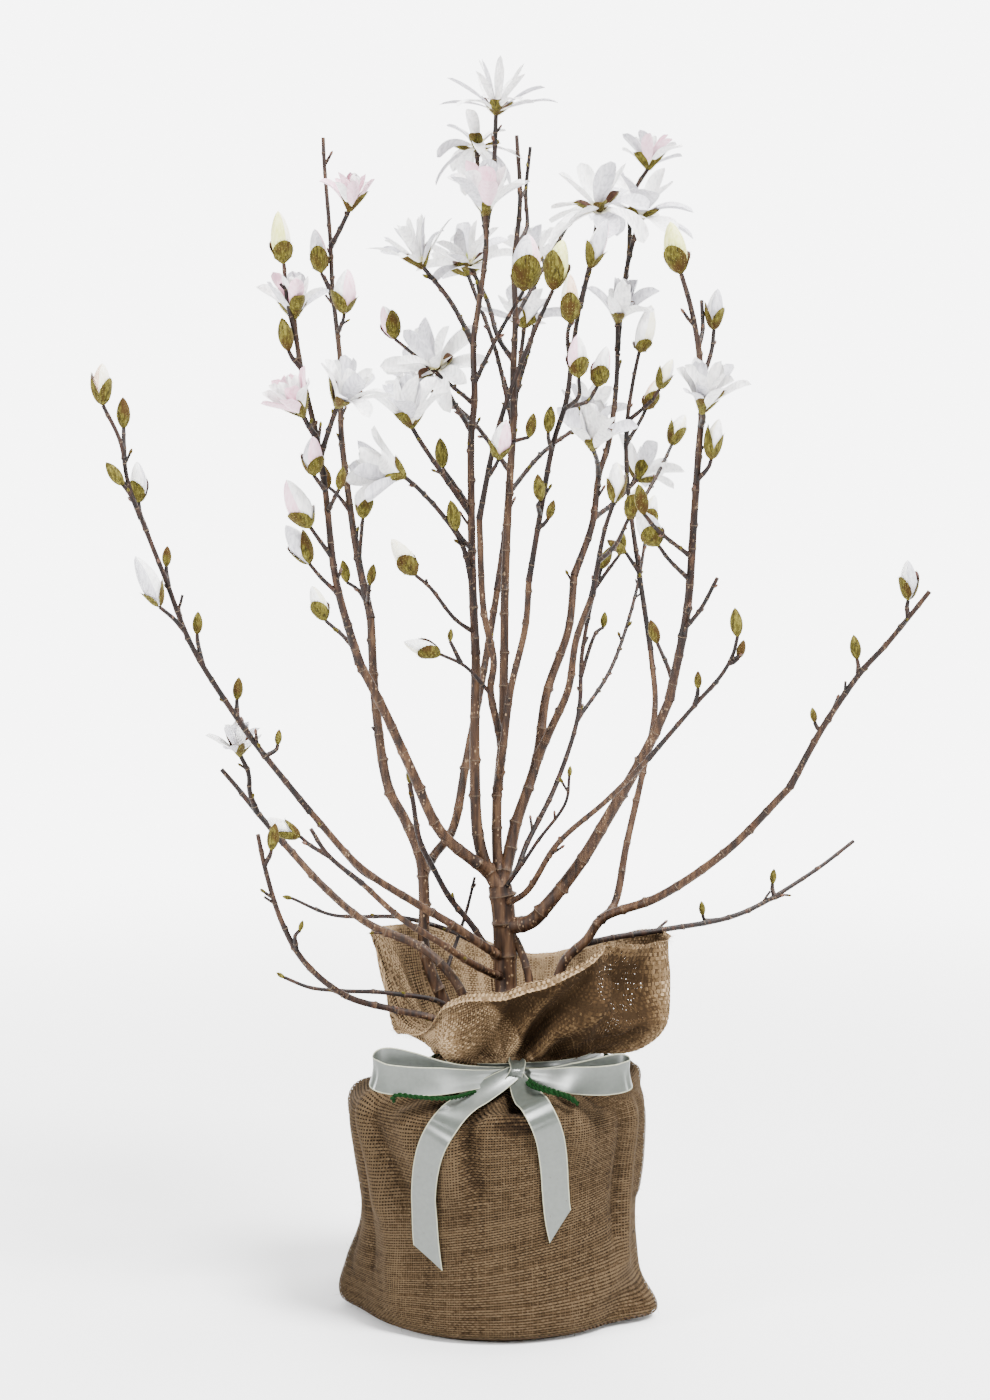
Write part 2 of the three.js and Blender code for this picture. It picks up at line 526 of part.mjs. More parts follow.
    twigs: [] },
  { name: 'cross_twig', on: 'left_low_bough', at: 298, radii: [1.9, 1.6, 1.3],
    via: [[-46, 331, 16], [-38, 357, 26], [-32, 382, 30]],
    end: cut,
    twigs: [] },
  { name: 'low_left_bud_spray', on: 'red_stem', at: 545, radii: [1.8, 1.6, 1.4],
    via: [[-41, 570, -36], [-62, 580, -46]],
    end: swollen([-0.9, 0, 0.35], 34),
    twigs: [
      [572, [[-50, 584, -40], [-54, 592, -40]], bud([0.1, 0, 1], 12)],
    ] },
];

const TWIG_RADII = [2, 1.6];
const FLOWER_TWIG_RADII = [2.4, 2];
const PETALS = 8;

// Every stem and twig of a spray as its own curve, before anything is fused
function sprayCurves(spray) {
  const parent = limbs.get(spray.on);
  const start = parent ? footOn(parent, spray.at) : seen(spray.via[0]);
  const stem = curveFrom(start, parent ? spray.via : spray.via.slice(1));
  const list = [{ curve: stem, radii: spray.radii, end: spray.end, sides: 4, stepLength: 60 }];
  for (const [up, via, end] of spray.twigs) {
    const curve = curveFrom(stem.getPointAt(heightOn(stem, up)), via);
    const radii = end.kind === 'bloom' ? FLOWER_TWIG_RADII : TWIG_RADII;
    list.push({ curve, radii, end, sides: 3, stepLength: 60 });
  }
  return list;
}

function tubeOf({ curve, radii, sides, stepLength }, extra = 0) {
  const steps = Math.max(2, Math.round(curve.getLength() / stepLength));
  return tube(curve, radii, sides, steps, extra);
}

// Short spurs with a shut bud stand on a spray's shoots at each golden turn.
function spursOf({ curve }, random) {
  const spacing = 120;
  const list = [];
  const length = curve.getLength();
  for (let along = spacing * (0.5 + 0.5 * random()); along < length - 20; along += spacing) {
    const t = along / length;
    const axis = curve.getTangentAt(t);
    const [u, v] = squareTo(axis);
    const turn = list.length * GOLDEN + random();
    const out = u.multiplyScalar(Math.cos(turn)).addScaledVector(v, Math.sin(turn));
    const heading = axis.clone().addScaledVector(out, 0.9).normalize();
    list.push({ foot: curve.getPointAt(t), heading, length: 9 + 5 * random() });
  }
  return list;
}

function spur({ foot, heading, length }, extra = 0) {
  const [u, v] = squareTo(heading);
  const at = (s) => foot.clone().addScaledVector(heading, s);
  return skin([[at(-1)], ring(at(length * 0.6), u, v, 1.5 + extra, 3), [at(length + extra)]]);
}

// What stands at the end of a shoot, as makers that can also give each piece a little larger
function growthOf({ curve, end }, random) {
  if (end.kind === 'cut') return [];
  const foot = curve.getPointAt(1);
  const axis = new THREE.Vector3(...end.faces).normalize();
  if (end.kind === 'bud') {
    return [(extra) => egg(foot, axis, end.length, end.length * end.wide, 4, extra)];
  }
  if (end.kind === 'swollen') {
    return [(extra) => egg(foot, axis, end.length, end.length * end.wide, 5, extra)];
  }
  const turn = random() * Math.PI;
  const lifts = Array.from({ length: PETALS }, (_, i) => (i % 2 ? 1 : 0.72) * (0.9 + 0.2 * random()));
  return [(extra) => flower(foot, axis, turn, end.length, (end.open * Math.PI) / 2, lifts, extra)];
}

const group = new THREE.Group();
const skipped = [];

function addMesh(name, solid, material) {
  const mesh = new THREE.Mesh(toGeometry(solid), material);
  mesh.name = name;
  group.add(mesh);
}

const paint = (color, roughness) => new THREE.MeshStandardMaterial({ color, roughness, metalness: 0 });

function buildPlant() {
  for (const bough of BOUGHS) addLimb(bough);
  for (const limb of limbs.values()) addMesh(limb.name, limb.solid, paint(0x6f5442, 0.75));

  const masses = SPRAYS.map((spray, index) => {
    const random = seeded(index + 11);
    const shoots = sprayCurves(spray);
    const grown = shoots.map((shoot) => tubeOf(shoot, GAP + 0.1));
    return { spray, random, shoots, grown, pieces: [], fat: [] };
  });

  for (const mass of masses) {
    const others = masses.filter((other) => other !== mass);
    const limbSolids = [...limbs.values()].map((limb) => limb.grown);
    const parent = limbs.get(mass.spray.on);
    const away = limbSolids.filter((solid) => !parent || solid !== parent.grown);
    const clear = (fat) =>
      !away.some((solid) => touches(fat, solid)) &&
      !others.some((other) => [...other.grown, ...other.fat].some((solid) => touches(fat, solid)));
    const keep = (label, make) => {
      const fat = make(GAP);
      if (!clear(fat)) {
        skipped.push(mass.spray.name + ' ' + label);
        return false;
      }
      mass.pieces.push(make(0));
      mass.fat.push(fat);
      return true;
    };
    mass.shoots.forEach((shoot, i) => {
      if (i === 0) mass.pieces.push(tubeOf(shoot));
      else if (!keep('twig ' + i, (extra) => tubeOf(shoot, extra))) return;
      growthOf(shoot, mass.random).forEach((make, k) => keep('growth ' + i + '.' + k, make));
      if (i > 0) return;
      spursOf(shoot, mass.random).forEach((one) => keep('spur', (extra) => spur(one, extra)));
    });
    let solid = wasm.Manifold.union(mass.pieces);
    if (!parent) solid = trimAtSoil(solid);
    solid = clearOf(solid, limbSolids).simplify(0.12);
    const blooms = mass.shoots.some((shoot) => shoot.end.kind === 'bloom');
    addMesh(mass.spray.name, solid, paint(blooms ? 0xf3ede6 : 0x8a8050, 0.8));
  }
}

// The pot and what fills it

function lathe(profile, segments) {
  const points = profile.map(([radius, height]) => new THREE.Vector2(radius, height));
  const geometry = new THREE.LatheGeometry(points, segments);
  geometry.rotateX(Math.PI / 2);
  return toSolid(geometry);
}

function buildPot() {
  const foot = POT_FLOOR;
  const top = foot + POT_HEIGHT;
  const inside = (height) => {
    const share = (height - foot) / POT_HEIGHT;
    return THREE.MathUtils.lerp(POT_FOOT_RADIUS, POT_TOP_RADIUS, share) - POT_WALL;
  };
  const pot = lathe([
    [0, foot],
    [POT_FOOT_RADIUS, foot],
    [POT_TOP_RADIUS, top - 9],
    [POT_TOP_RADIUS + POT_RIM, top - 9],
    [POT_TOP_RADIUS + POT_RIM, top],
    [POT_TOP_RADIUS - POT_WALL, top],
    [inside(foot + POT_WALL), foot + POT_WALL],
    [0, foot + POT_WALL],
  ], 24);
  addMesh('nursery_pot', pot, paint(0x2b2b2c, 0.7));
  const soil = lathe([
    [0, SOIL_FLOOR],
    [inside(SOIL_FLOOR) - 2 * GAP, SOIL_FLOOR],
    [inside(SOIL_TOP) - 2 * GAP, SOIL_TOP],
    [0, SOIL_TOP],
  ], 24);
  addMesh('potting_soil', soil, paint(0x3a2a20, 0.95));
}

// The sack: radius at each height up to the neck, about an axis that leans to the neck's centre
const SACK_ROWS = [
  [112, 0], [124, 7], [125, 40], [123, 80], [127, 140], [131.5, 178], [127, 190], [106, 200], [84, 206.5],
  [62.5, 212], [62.5, 229],
];
const NECK_RIGHT = 20;
const SHOULDER = 186;
const NECK_LOW = 212;
const NECK_RADIUS = 62.5;
const CUFF_START = 229;
// The cuff's rim round the neck's centre: bearing in degrees from the right side towards the
// back, distance from the centre, and height.
const RIM = [
  [0, 133, 325], [19, 125, 325], [52, 101, 305], [83, 86, 297], [118, 97, 314], [133, 103, 323],
  [159, 110, 333], [180, 130, 327], [184, 121, 296], [190, 110, 250], [208, 89, 244], [219, 80, 267],
  [234, 75, 285], [254, 75, 294], [278, 77, 300], [299, 86, 310], [323, 100, 322], [346, 124, 326],
];
// The two sewn corners: bearing, how far each stands out, and its height above the floor
const EARS = [[182, 20, 52], [341, 26, 30]];
const AROUND = 24;

function rimAt(bearing) {
  const list = RIM;
  let k = list.findIndex(([b]) => b > bearing);
  if (k < 0) k = list.length;
  const [b0, r0, z0] = list[(k + list.length - 1) % list.length];
  const [b1, r1, z1] = list[k % list.length];
  const span = (b1 - b0 + 360) % 360;
  const share = ((bearing - b0 + 360) % 360) / span;
  return [THREE.MathUtils.lerp(r0, r1, share), THREE.MathUtils.lerp(z0, z1, share)];
}

function sackPoint(bearing, radius, height, centreX) {
  const angle = THREE.MathUtils.degToRad(bearing);
  return new THREE.Vector3(centreX + radius * Math.cos(angle), radius * Math.sin(angle), height);
}

function earOut(bearing, height) {
  let out = 0;
  for (const [at, reach, tall] of EARS) {
    const turn = ((bearing - at + 540) % 360) - 180;
    out += reach * Math.exp(-((turn / 13) ** 2)) * Math.max(0, 1 - Math.abs(height - tall * 0.35) / tall);
  }
  return out;
}

function sackRings() {
  const lean = (height) => NECK_RIGHT * THREE.MathUtils.smoothstep(height, SHOULDER, NECK_LOW);
  const bearings = Array.from({ length: AROUND }, (_, i) => (i / AROUND) * 360);
  const outer = [];
  for (const [radius, height] of SACK_ROWS) {
    outer.push(bearings.map((bearing) => {
      const folded = height > 60 && height < 200;
      const fold = folded ? 1.6 * Math.sin(THREE.MathUtils.degToRad(bearing * 5 + height)) : 0;
      const out = radius + fold + (height > 1 ? earOut(bearing, height) : 0);
      return sackPoint(bearing, out, height, lean(height));
    }));
  }
  const cuff = [[0.14, 0.36], [0.5, 0.8], [1, 1]];
  for (const [rise, reach] of cuff) {
    outer.push(bearings.map((bearing) => {
      const [rimRadius, rimHeight] = rimAt(bearing);
      const radius = THREE.MathUtils.lerp(NECK_RADIUS, rimRadius, reach);
      const height = THREE.MathUtils.lerp(CUFF_START, rimHeight, rise);
      return sackPoint(bearing, radius, height, NECK_RIGHT);
    }));
  }
  return outer;
}

function offsetRings(rings, distance) {
  return rings.map((row, r) =>
    row.map((point, i) => {
      const before = rings[Math.max(r - 1, 0)][i];
      const after = rings[Math.min(r + 1, rings.length - 1)][i];
      const left = row[(i + row.length - 1) % row.length];
      const right = row[(i + 1) % row.length];
      const upward = after.clone().sub(before);
      const sideways = right.clone().sub(left);
      const normal = sideways.cross(upward).normalize();
      return point.clone().addScaledVector(normal, distance);
    }),
  );
}

function buildSack() {
  const outer = sackRings();
  const inner = offsetRings(outer, -CLOTH);
  inner[0].forEach((point) => {
    point.z = CLOTH;
  });
  const centre = new THREE.Vector3(0, 0, 0);
  const solid = skin([
    [centre],
    ...outer,
    ...inner.reverse(),
    [centre.clone().setZ(CLOTH)],
  ]);
  addMesh('burlap_sack', solid, paint(0x96744c, 0.95));
}

// How far in front the sack's cloth stands at a place across and up
function sackFront(across, up, off) {
  let radius = SACK_ROWS[0][0];
  for (let k = 0; k + 1 < SACK_ROWS.length; k++) {
    const [r0, z0] = SACK_ROWS[k];
    const [r1, z1] = SACK_ROWS[k + 1];
    if (up >= z0 && up <= z1) radius = THREE.MathUtils.lerp(r0, r1, (up - z0) / (z1 - z0));
  }
  const centre = NECK_RIGHT * THREE.MathUtils.smoothstep(up, SHOULDER, NECK_LOW);
  const reach = radius + off;
  return -Math.sqrt(Math.max(reach * reach - (across - centre) ** 2, 0));
}

// A flat strap through places, each with the direction of its width. It is gathered to half its
// width where it enters the knot.
function strap(places, width, thick, gathered) {
  const curve = new THREE.CatmullRomCurve3(places.map(([p]) => p), false, 'centripetal');
  const steps = Math.round((places.length - 1) * 1.6);
  const rings = [];
  for (let i = 0; i <= steps; i++) {
    const t = i / steps;
    const s = t * (places.length - 1);
    const k = Math.min(Math.floor(s), places.length - 2);
    const across = places[k][1].clone().lerp(places[k + 1][1], s - k).normalize();
    const tangent = curve.getTangent(t);
    const normal = new THREE.Vector3().crossVectors(tangent, across).normalize();
    const side = new THREE.Vector3().crossVectors(normal, tangent).normalize();
    const centre = curve.getPoint(t);
    const full = gathered(t) ? width / 2 : width;
    const corner = (a, b) =>
      centre.clone().addScaledVector(side, (a * full) / 2).addScaledVector(normal, (b * thick) / 2);
    rings.push([corner(1, -1), corner(1, 1), corner(-1, 1), corner(-1, -1)]);
  }
  return skin(rings);
}

function hoop(centre, radius, height, width, thick, segments) {
  const geometry = new THREE.LatheGeometry([
    new THREE.Vector2(radius, height),
    new THREE.Vector2(radius + thick, height),
    new THREE.Vector2(radius + thick, height + width),
    new THREE.Vector2(radius, height + width),
    new THREE.Vector2(radius, height),
  ], segments);
  geometry.rotateX(Math.PI / 2);
  geometry.translate(centre, 0, 0);
  return toSolid(geometry);
}

const BAND_WIDTH = 11;
const KNOT = new THREE.Vector3(15, -69.5, 224.5);

function buildRibbon() {
  const band = hoop(NECK_RIGHT, NECK_RADIUS + GAP, NECK_LOW + 4, BAND_WIDTH, RIBBON_THICK, AROUND);
  const upright = new THREE.Vector3(0, -0.35, 1).normalize();
  const knot = egg(KNOT.clone().add(new THREE.Vector3(-10, 0, 0)), new THREE.Vector3(1, 0, 0), 20, 14, 6);
  const loop = (side, reach, rise) => strap([
    [KNOT.clone().add(new THREE.Vector3(0, -1, 1)), upright],
    [KNOT.clone().add(new THREE.Vector3(side * reach * 0.5, -26, 4 + rise)), upright],
    [KNOT.clone().add(new THREE.Vector3(side * reach * 0.96, -36, 3 + rise)), upright],
    [KNOT.clone().add(new THREE.Vector3(side * reach, -22, 4 + rise)), upright],
    [KNOT.clone().add(new THREE.Vector3(side * reach * 0.55, -8, 4 + rise)), upright],
    [KNOT.clone().add(new THREE.Vector3(side * 2, 2, 2)), upright],
  ], RIBBON_WIDTH, RIBBON_THICK, (t) => t < 0.05 || t > 0.95);
  const tail = (route) => {
    const places = route.map(([across, up]) => {
      const y = up > 214 ? KNOT.y - 2 : sackFront(across, up - 6, 3.6);
      return new THREE.Vector3(across, y, up);
    });
    return strap(places.map((place, i) => {
      const before = places[Math.max(i - 1, 0)];
      const after = places[Math.min(i + 1, places.length - 1)];
      const along = after.clone().sub(before).normalize();
      const upward = 280 * THREE.MathUtils.smoothstep(place.z, 165, 202);
      const outward = new THREE.Vector3(place.x, place.y, upward).normalize();
      return [place, new THREE.Vector3().crossVectors(along, outward).normalize()];
    }), RIBBON_WIDTH, RIBBON_THICK, (t) => t < 0.05);
  };
  const left = tail([[12, 222], [-20, 206], [-44, 194], [-55, 174], [-60, 148], [-66, 110], [-64, 62]]);
  const right = tail([[18, 222], [30, 206], [41, 193], [45, 170], [48, 128], [53, 90]]);
  const bow = wasm.Manifold.union([band, knot, loop(-1, 118, 0), loop(1, 96, -3), left, right]);
  addMesh('ribbon_bow', largest(bow), paint(0xd6d9cf, 0.35));
}

function buildTwine() {
  const radius = NECK_RADIUS + 6.5;
  const height = NECK_LOW + 1.2;
  const curve = new THREE.CatmullRomCurve3(
    Array.from({ length: 16 }, (_, i) => {
      const angle = (i / 16) * 2 * Math.PI;
      return new THREE.Vector3(NECK_RIGHT + radius * Math.cos(angle), radius * Math.sin(angle), height);
    }),
    true,
  );
  const section = new THREE.Shape();
  section.absarc(0, 0, TWINE_RADIUS, 0, 2 * Math.PI);
  const tie = new THREE.ExtrudeGeometry(section, { steps: 20, curveSegments: 3, extrudePath: curve });
  addMesh('twine_tie', toSolid(tie), paint(0x1f4a2a, 0.9));
}

buildPot();
buildSack();
buildRibbon();
buildTwine();
buildPlant();
group.userData.skipped = skipped;

export default group;
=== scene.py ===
"""A star magnolia in flower, in a burlap sack tied with a ribbon bow, dressed over its frame.

Sizes are in millimetres, in the part's own frame, and become metres where a mesh is made. The
studio's own sizes are in metres.
"""
import math

import bpy
import numpy as np
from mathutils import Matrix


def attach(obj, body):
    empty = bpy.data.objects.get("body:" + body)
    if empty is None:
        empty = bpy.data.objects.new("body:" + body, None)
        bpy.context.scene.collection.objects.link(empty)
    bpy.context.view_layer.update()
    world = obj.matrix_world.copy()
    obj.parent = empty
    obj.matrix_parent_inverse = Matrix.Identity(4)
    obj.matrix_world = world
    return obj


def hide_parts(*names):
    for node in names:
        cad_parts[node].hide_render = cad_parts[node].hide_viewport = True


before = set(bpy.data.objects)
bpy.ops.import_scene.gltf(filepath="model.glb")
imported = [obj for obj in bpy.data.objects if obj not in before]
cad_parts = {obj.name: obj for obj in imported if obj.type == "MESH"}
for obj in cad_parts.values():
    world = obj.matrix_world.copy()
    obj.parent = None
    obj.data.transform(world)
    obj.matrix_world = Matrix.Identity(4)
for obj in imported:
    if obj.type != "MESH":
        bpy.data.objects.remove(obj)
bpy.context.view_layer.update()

MM = 0.001

# The eye in front of the plant, which the camera takes too
EYE = np.array([-2.0, -2000.0, 620.0])
EYE_DROP = math.radians(2.3)
LENS = 58
# The trunk's line across the view, from which the places of all limbs are counted
TRUNK_LINE = 12
SOIL_TOP = 169.3


def unit(vector):
    return vector / np.linalg.norm(vector, axis=-1, keepdims=True)


def seen(place):
    """A place given across, up and deep as the eye sees it, in the part's frame"""
    across, up, depth = place
    flat = np.array([across + TRUNK_LINE, 0.0, up])
    return EYE + (flat - EYE) * (1 - depth / EYE[1])


def up_of(point):
    """The height at which the eye sees a place, which is what seen() takes as up"""
    return EYE[2] + (point[..., 2] - EYE[2]) / (1 - point[..., 1] / EYE[1])


def square_to(axis):
    """Two directions square to an axis and to each other"""
    start = np.array([0, 0, 1.0]) if abs(axis[2]) < 0.9 else np.array([1.0, 0, 0])
    u = unit(np.cross(start, axis))
    return u, unit(np.cross(axis, u))


def spoke(u, v, turn):
    """The direction at an angle from u towards v"""
    return u * math.cos(turn) + v * math.sin(turn)


def spokes(u, v, angles):
    return u * np.cos(angles)[:, None] + v * np.sin(angles)[:, None]


def full_turn(count):
    """Angles at even steps once round"""
    return np.arange(count) / count * 2 * math.pi


class Seeded:
    """The same seeded numbers as the part's own"""

    def __init__(self, seed):
        self.state = seed

    def __call__(self):
        self.state = (self.state * 1664525 + 1013904223) % 2**32
        return self.state / 2**32


class Path:
    """A smooth curve through points, measured along its length"""

    def __init__(self, points):
        points = np.array(points, float)
        ends = np.vstack([2 * points[0] - points[1], points, 2 * points[-1] - points[-2]])
        share = np.linspace(0, 1, 24, endpoint=False)[:, None]
        pieces = []
        for p0, p1, p2, p3 in zip(ends, ends[1:], ends[2:], ends[3:]):
            d0, d1, d2 = (np.linalg.norm(b - a) ** 0.5 for a, b in ((p0, p1), (p1, p2), (p2, p3)))
            m1 = ((p1 - p0) / d0 - (p2 - p0) / (d0 + d1) + (p2 - p1) / d1) * d1
            m2 = ((p2 - p1) / d1 - (p3 - p1) / (d1 + d2) + (p3 - p2) / d2) * d1
            bend = share**2 * (3 * (p2 - p1) - 2 * m1 - m2) + share**3 * (2 * (p1 - p2) + m1 + m2)
            pieces.append(p1 + share * m1 + bend)
        self.dots = np.vstack(pieces + [points[-1:]])
        steps = np.linalg.norm(np.diff(self.dots, axis=0), axis=1)
        self.run = np.concatenate([[0], np.cumsum(steps)])
        self.length = self.run[-1]

    def at(self, along):
        return np.stack([np.interp(along, self.run, self.dots[:, k]) for k in range(3)], -1)

    def heading(self, along):
        ahead = self.at(np.minimum(np.asarray(along) + 1, self.length))
        return unit(ahead - self.at(np.maximum(np.asarray(along) - 1, 0)))

    def along_to(self, up):
        """The distance along the curve at which it first reaches a height"""
        heights = up_of(self.dots)
        reached = np.nonzero(heights >= up)[0]
        return self.run[reached[0]] if len(reached) else self.length

    def frames(self, along):
        """Two directions square to the curve at each distance, turned as little as can be"""
        headings = self.heading(along)
        u = square_to(headings[0])[0]
        sides = []
        for heading in headings:
            u = unit(u - heading * np.dot(u, heading))
            sides.append(u)
        sides = np.array(sides)
        return sides, np.cross(headings, sides)


class Heap:
    """Loose surfaces gathered into one mesh, each face with the number of its material. The strips
    of a ribbon also carry the distance along and across them, for the run of their threads."""

    def __init__(self):
        self.points = []
        self.faces = []
        self.tones = []
        self.runs = []
        self.count = 0

    def add(self, points, faces, tone, run=None):
        points = np.asarray(points, float).reshape(-1, 3)
        faces = np.asarray(faces)
        self.points.append(points)
        self.faces.extend((faces + self.count).tolist())
        self.tones.append(np.broadcast_to(tone, len(faces)))
        if run is not None:
            self.runs.append(run)
        self.count += len(points)

    def grid(self, points, tone, closed=True, run=None):
        """Adds rows of points as a skin, joined round where the rows are closed"""
        self.add(points, grid_faces(*points.shape[:2], closed), tone, run)

    def strands(self, roots, side, tips, tone):
        """Adds one slim triangle for each fine hair"""
        points = np.stack([roots - side, roots + side, tips], 1)
        self.add(points, np.arange(len(roots) * 3).reshape(-1, 3), tone)

    def make(self, name, materials, slot, replaces=()):
        mesh = bpy.data.meshes.new(name)
        mesh.from_pydata((np.vstack(self.points) * MM).tolist(), [], self.faces)
        for material in materials:
            mesh.materials.append(material)
        mesh.polygons.foreach_set("material_index", np.concatenate(self.tones).astype(np.int32))
        if self.runs:
            corners = np.empty(len(mesh.loops), np.int32)
            mesh.loops.foreach_get("vertex_index", corners)
            mesh.uv_layers.new(name="run").uv.foreach_set("vector", np.vstack(self.runs)[corners].ravel())
        mesh.shade_smooth()
        mesh.update()
        piece = bpy.data.objects.new(name, mesh)
        bpy.context.scene.collection.objects.link(piece)
        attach(piece, "root")
        if replaces:
            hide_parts(*replaces)


def grid_faces(rows, columns, closed):
    across = columns if closed else columns - 1
    r, c = np.meshgrid(np.arange(rows - 1), np.arange(across), indexing="ij")
    d = (c + 1) % columns
    corners = [r * columns + c, r * columns + d, (r + 1) * columns + d, (r + 1) * columns + c]
    return np.stack(corners, -1).reshape(-1, 4)


def tube_points(path, along, radii, sides):
    """Rings round a path; radii hold one number a ring, or one for each point of it"""
    u, v = path.frames(along)
    out = spokes(u[:, None], v[:, None], full_turn(sides))
    radii = np.asarray(radii, float).reshape(len(along), -1)
    return path.at(along)[:, None] + out * radii[..., None]


# Materials

# The two ends of a mask's ramp
OFF, ON = (0, 0, 0), (1, 1, 1)
RANGE_ENDS = ("From Min", "From Max", "To Min", "To Max")


def smooth_range(made, *ends):
    """Sets a range node's ends, coming in and going out, with a soft start and finish"""
    made.interpolation_type = "SMOOTHSTEP"
    for name, value in zip(RANGE_ENDS, ends):
        made.inputs[name].default_value = value
    return made.outputs["Result"]


class Look:
    """A material made of nodes, with its pattern in the part's own frame"""

    def __init__(self, name, roughness, **sockets):
        self.material = bpy.data.materials.new(name)
        self.material.use_nodes = True
        self.nodes = self.material.node_tree.nodes
        self.surface = self.nodes["Principled BSDF"]
        self.surface.inputs["Roughness"].default_value = roughness
        for socket, value in sockets.items():
            self.surface.inputs[socket.replace("_", " ")].default_value = value
        self.place = self.nodes.new("ShaderNodeTexCoord").outputs["Object"]

    def link(self, start, end):
        self.material.node_tree.links.new(start, end)

    def node(self, kind, **inputs):
        made = self.nodes.new("ShaderNode" + kind)
        for name, value in inputs.items():
            socket = made.inputs[name.replace("_", " ")]
            if isinstance(value, bpy.types.NodeSocket):
                self.link(value, socket)
            else:
                socket.default_value = value
        return made

    def stretched(self, scale):
        """The place in the frame, in cells of so many to the metre along X, Y and Z"""
        made = self.node("Mapping", Vector=self.place)
        made.inputs["Scale"].default_value = scale
        return made.outputs["Vector"]

    def noise(self, scale, detail, rough=0.55):
        place = self.stretched(scale)
        made = self.node("TexNoise", Vector=place, Scale=1.0, Detail=detail, Roughness=rough)
        return made.outputs["Fac"]

    def spots(self, scale):
        return self.node("TexVoronoi", Vector=self.stretched(scale), Scale=1.0).outputs["Distance"]

    def ramp(self, value, stops):
        made = self.nodes.new("ShaderNodeValToRGB")
        self.link(value, made.inputs["Fac"])
        elements = made.color_ramp.elements
        while len(elements) < len(stops):
            elements.new(0.5)
        for element, (at, colour) in zip(elements, stops):
            element.position = at
            element.color = (*colour, 1)
        return made.outputs["Color"]

    def mixed(self, share, low, high):
        made = self.nodes.new("ShaderNodeMix")
        made.data_type = "RGBA"
        for socket, value in zip((made.inputs[0], made.inputs[6], made.inputs[7]), (share, low, high)):
            if isinstance(value, bpy.types.NodeSocket):
                self.link(value, socket)
            else:
                socket.default_value = (*value, 1)
        return made.outputs[2]

    def colour(self, value):
        self.link(value, self.surface.inputs["Base Color"])
        return self

    def rough(self, value, low, high):
        made = self.node("MapRange", Value=value)
        made.inputs["To Min"].default_value = low
        made.inputs["To Max"].default_value = high
        self.link(made.outputs["Result"], self.surface.inputs["Roughness"])
        return self

    def bump(self, value, height, strength=0.6):
        made = self.node("Bump", Height=value)
        made.inputs["Strength"].default_value = strength
        made.inputs["Distance"].default_value = height * MM
        self.link(made.outputs["Normal"], self.surface.inputs["Normal"])
        return self

    def blend(self, share, shader):
        """Mixes a share of another shader into the surface"""
        joined = self.node("MixShader", Fac=share)
        self.link(self.surface.outputs["BSDF"], joined.inputs[1])
        self.link(shader, joined.inputs[2])
        self.link(joined.outputs["Shader"], self.nodes["Material Output"].inputs["Surface"])


def bark_look(name, dark, middle, light, fleck):
    """Bark streaked along the stem, with pale breathing pores"""
    look = Look(name, 0.6, Specular_IOR_Level=0.25)
    streaks = look.noise((230, 230, 26), 3, 0.5)
    skin = look.ramp(streaks, [(0.33, dark), (0.5, middle), (0.69, light)])
    pores = look.ramp(look.spots((330, 330, 210)), [(0.0, ON), (0.2, ON), (0.3, OFF)])
    chosen = look.ramp(look.noise((90, 90, 60), 2), [(0.5, OFF), (0.62, ON)])
    share = look.node("Math", Value=pores)
    share.operation = "MULTIPLY"
    look.link(chosen, share.inputs[1])
    look.colour(look.mixed(share.outputs[0], skin, fleck))
    look.rough(streaks, 0.45, 0.75)
    return look.bump(streaks, 0.5).material


def scar_look():
    """The dry wood of the scars round nodes and of cut ends"""
    look = Look("scar", 0.8)
    grain = look.noise((500, 500, 500), 3)
    look.colour(look.ramp(grain, [(0.3, (0.03, 0.018, 0.009)), (0.7, (0.11, 0.072, 0.040))]))
    return look.bump(grain, 0.2).material


def tepal_look(name, low, high):
    """A petal's skin: faint veins along it and a soft glow"""
    look = Look(name, 0.5, Specular_IOR_Level=0.3, Subsurface_Weight=0.12, Subsurface_Scale=0.002)
    look.surface.inputs["Subsurface Radius"].default_value = (1.0, 0.9, 0.8)
    veins = look.noise((420, 420, 120), 4)
    look.colour(look.ramp(veins, [(0.3, low), (0.58, high)]))
    return look.bump(veins, 0.25, 0.35).material


def fur_look(name, dark, middle, light, wear_and_painted_light):
    """Short fur, with patches where it has worn down to a brown skin"""
    look = Look(name, 0.9, Sheen_Weight=0.15, Sheen_Roughness=0.4, Specular_IOR_Level=0.15)
    look.surface.inputs["Sheen Tint"].default_value = (0.8, 0.7, 0.25, 1)
    nap = look.noise((900, 900, 260), 4, 0.65)
    locks = look.noise((560, 560, 150), 4, 0.6)
    coat = look.ramp(locks, [(0.3, dark), (0.5, middle), (0.72, light)])
    patches = look.ramp(look.noise((75, 75, 55), 2), [(0.48, OFF), (0.66, (0.9, 0.9, 0.9))])
    look.colour(look.mixed(patches, coat, wear_and_painted_light))
    return look.bump(nap, 0.5, 0.8).material


def plain_look(name, low, high, roughness):
    look = Look(name, roughness)
    grain = look.noise((600, 600, 600), 3)
    look.colour(look.ramp(grain, [(0.3, low), (0.7, high)]))
    return look.bump(grain, 0.2, 0.4).material


# Wood

GOLDEN = math.radians(137.5)
BARK, SCAR = 0, 1
# The step between a limb's rings, and the closer rings that shape each node
RING_STEP = 4.5
NODE_RINGS = (-2.2, -0.9, -0.35, 0.35, 0.9, 2.2)
NODE_REACH = 2.0
COLLAR_REACH = 7
SPUR_LEAN = 0.9


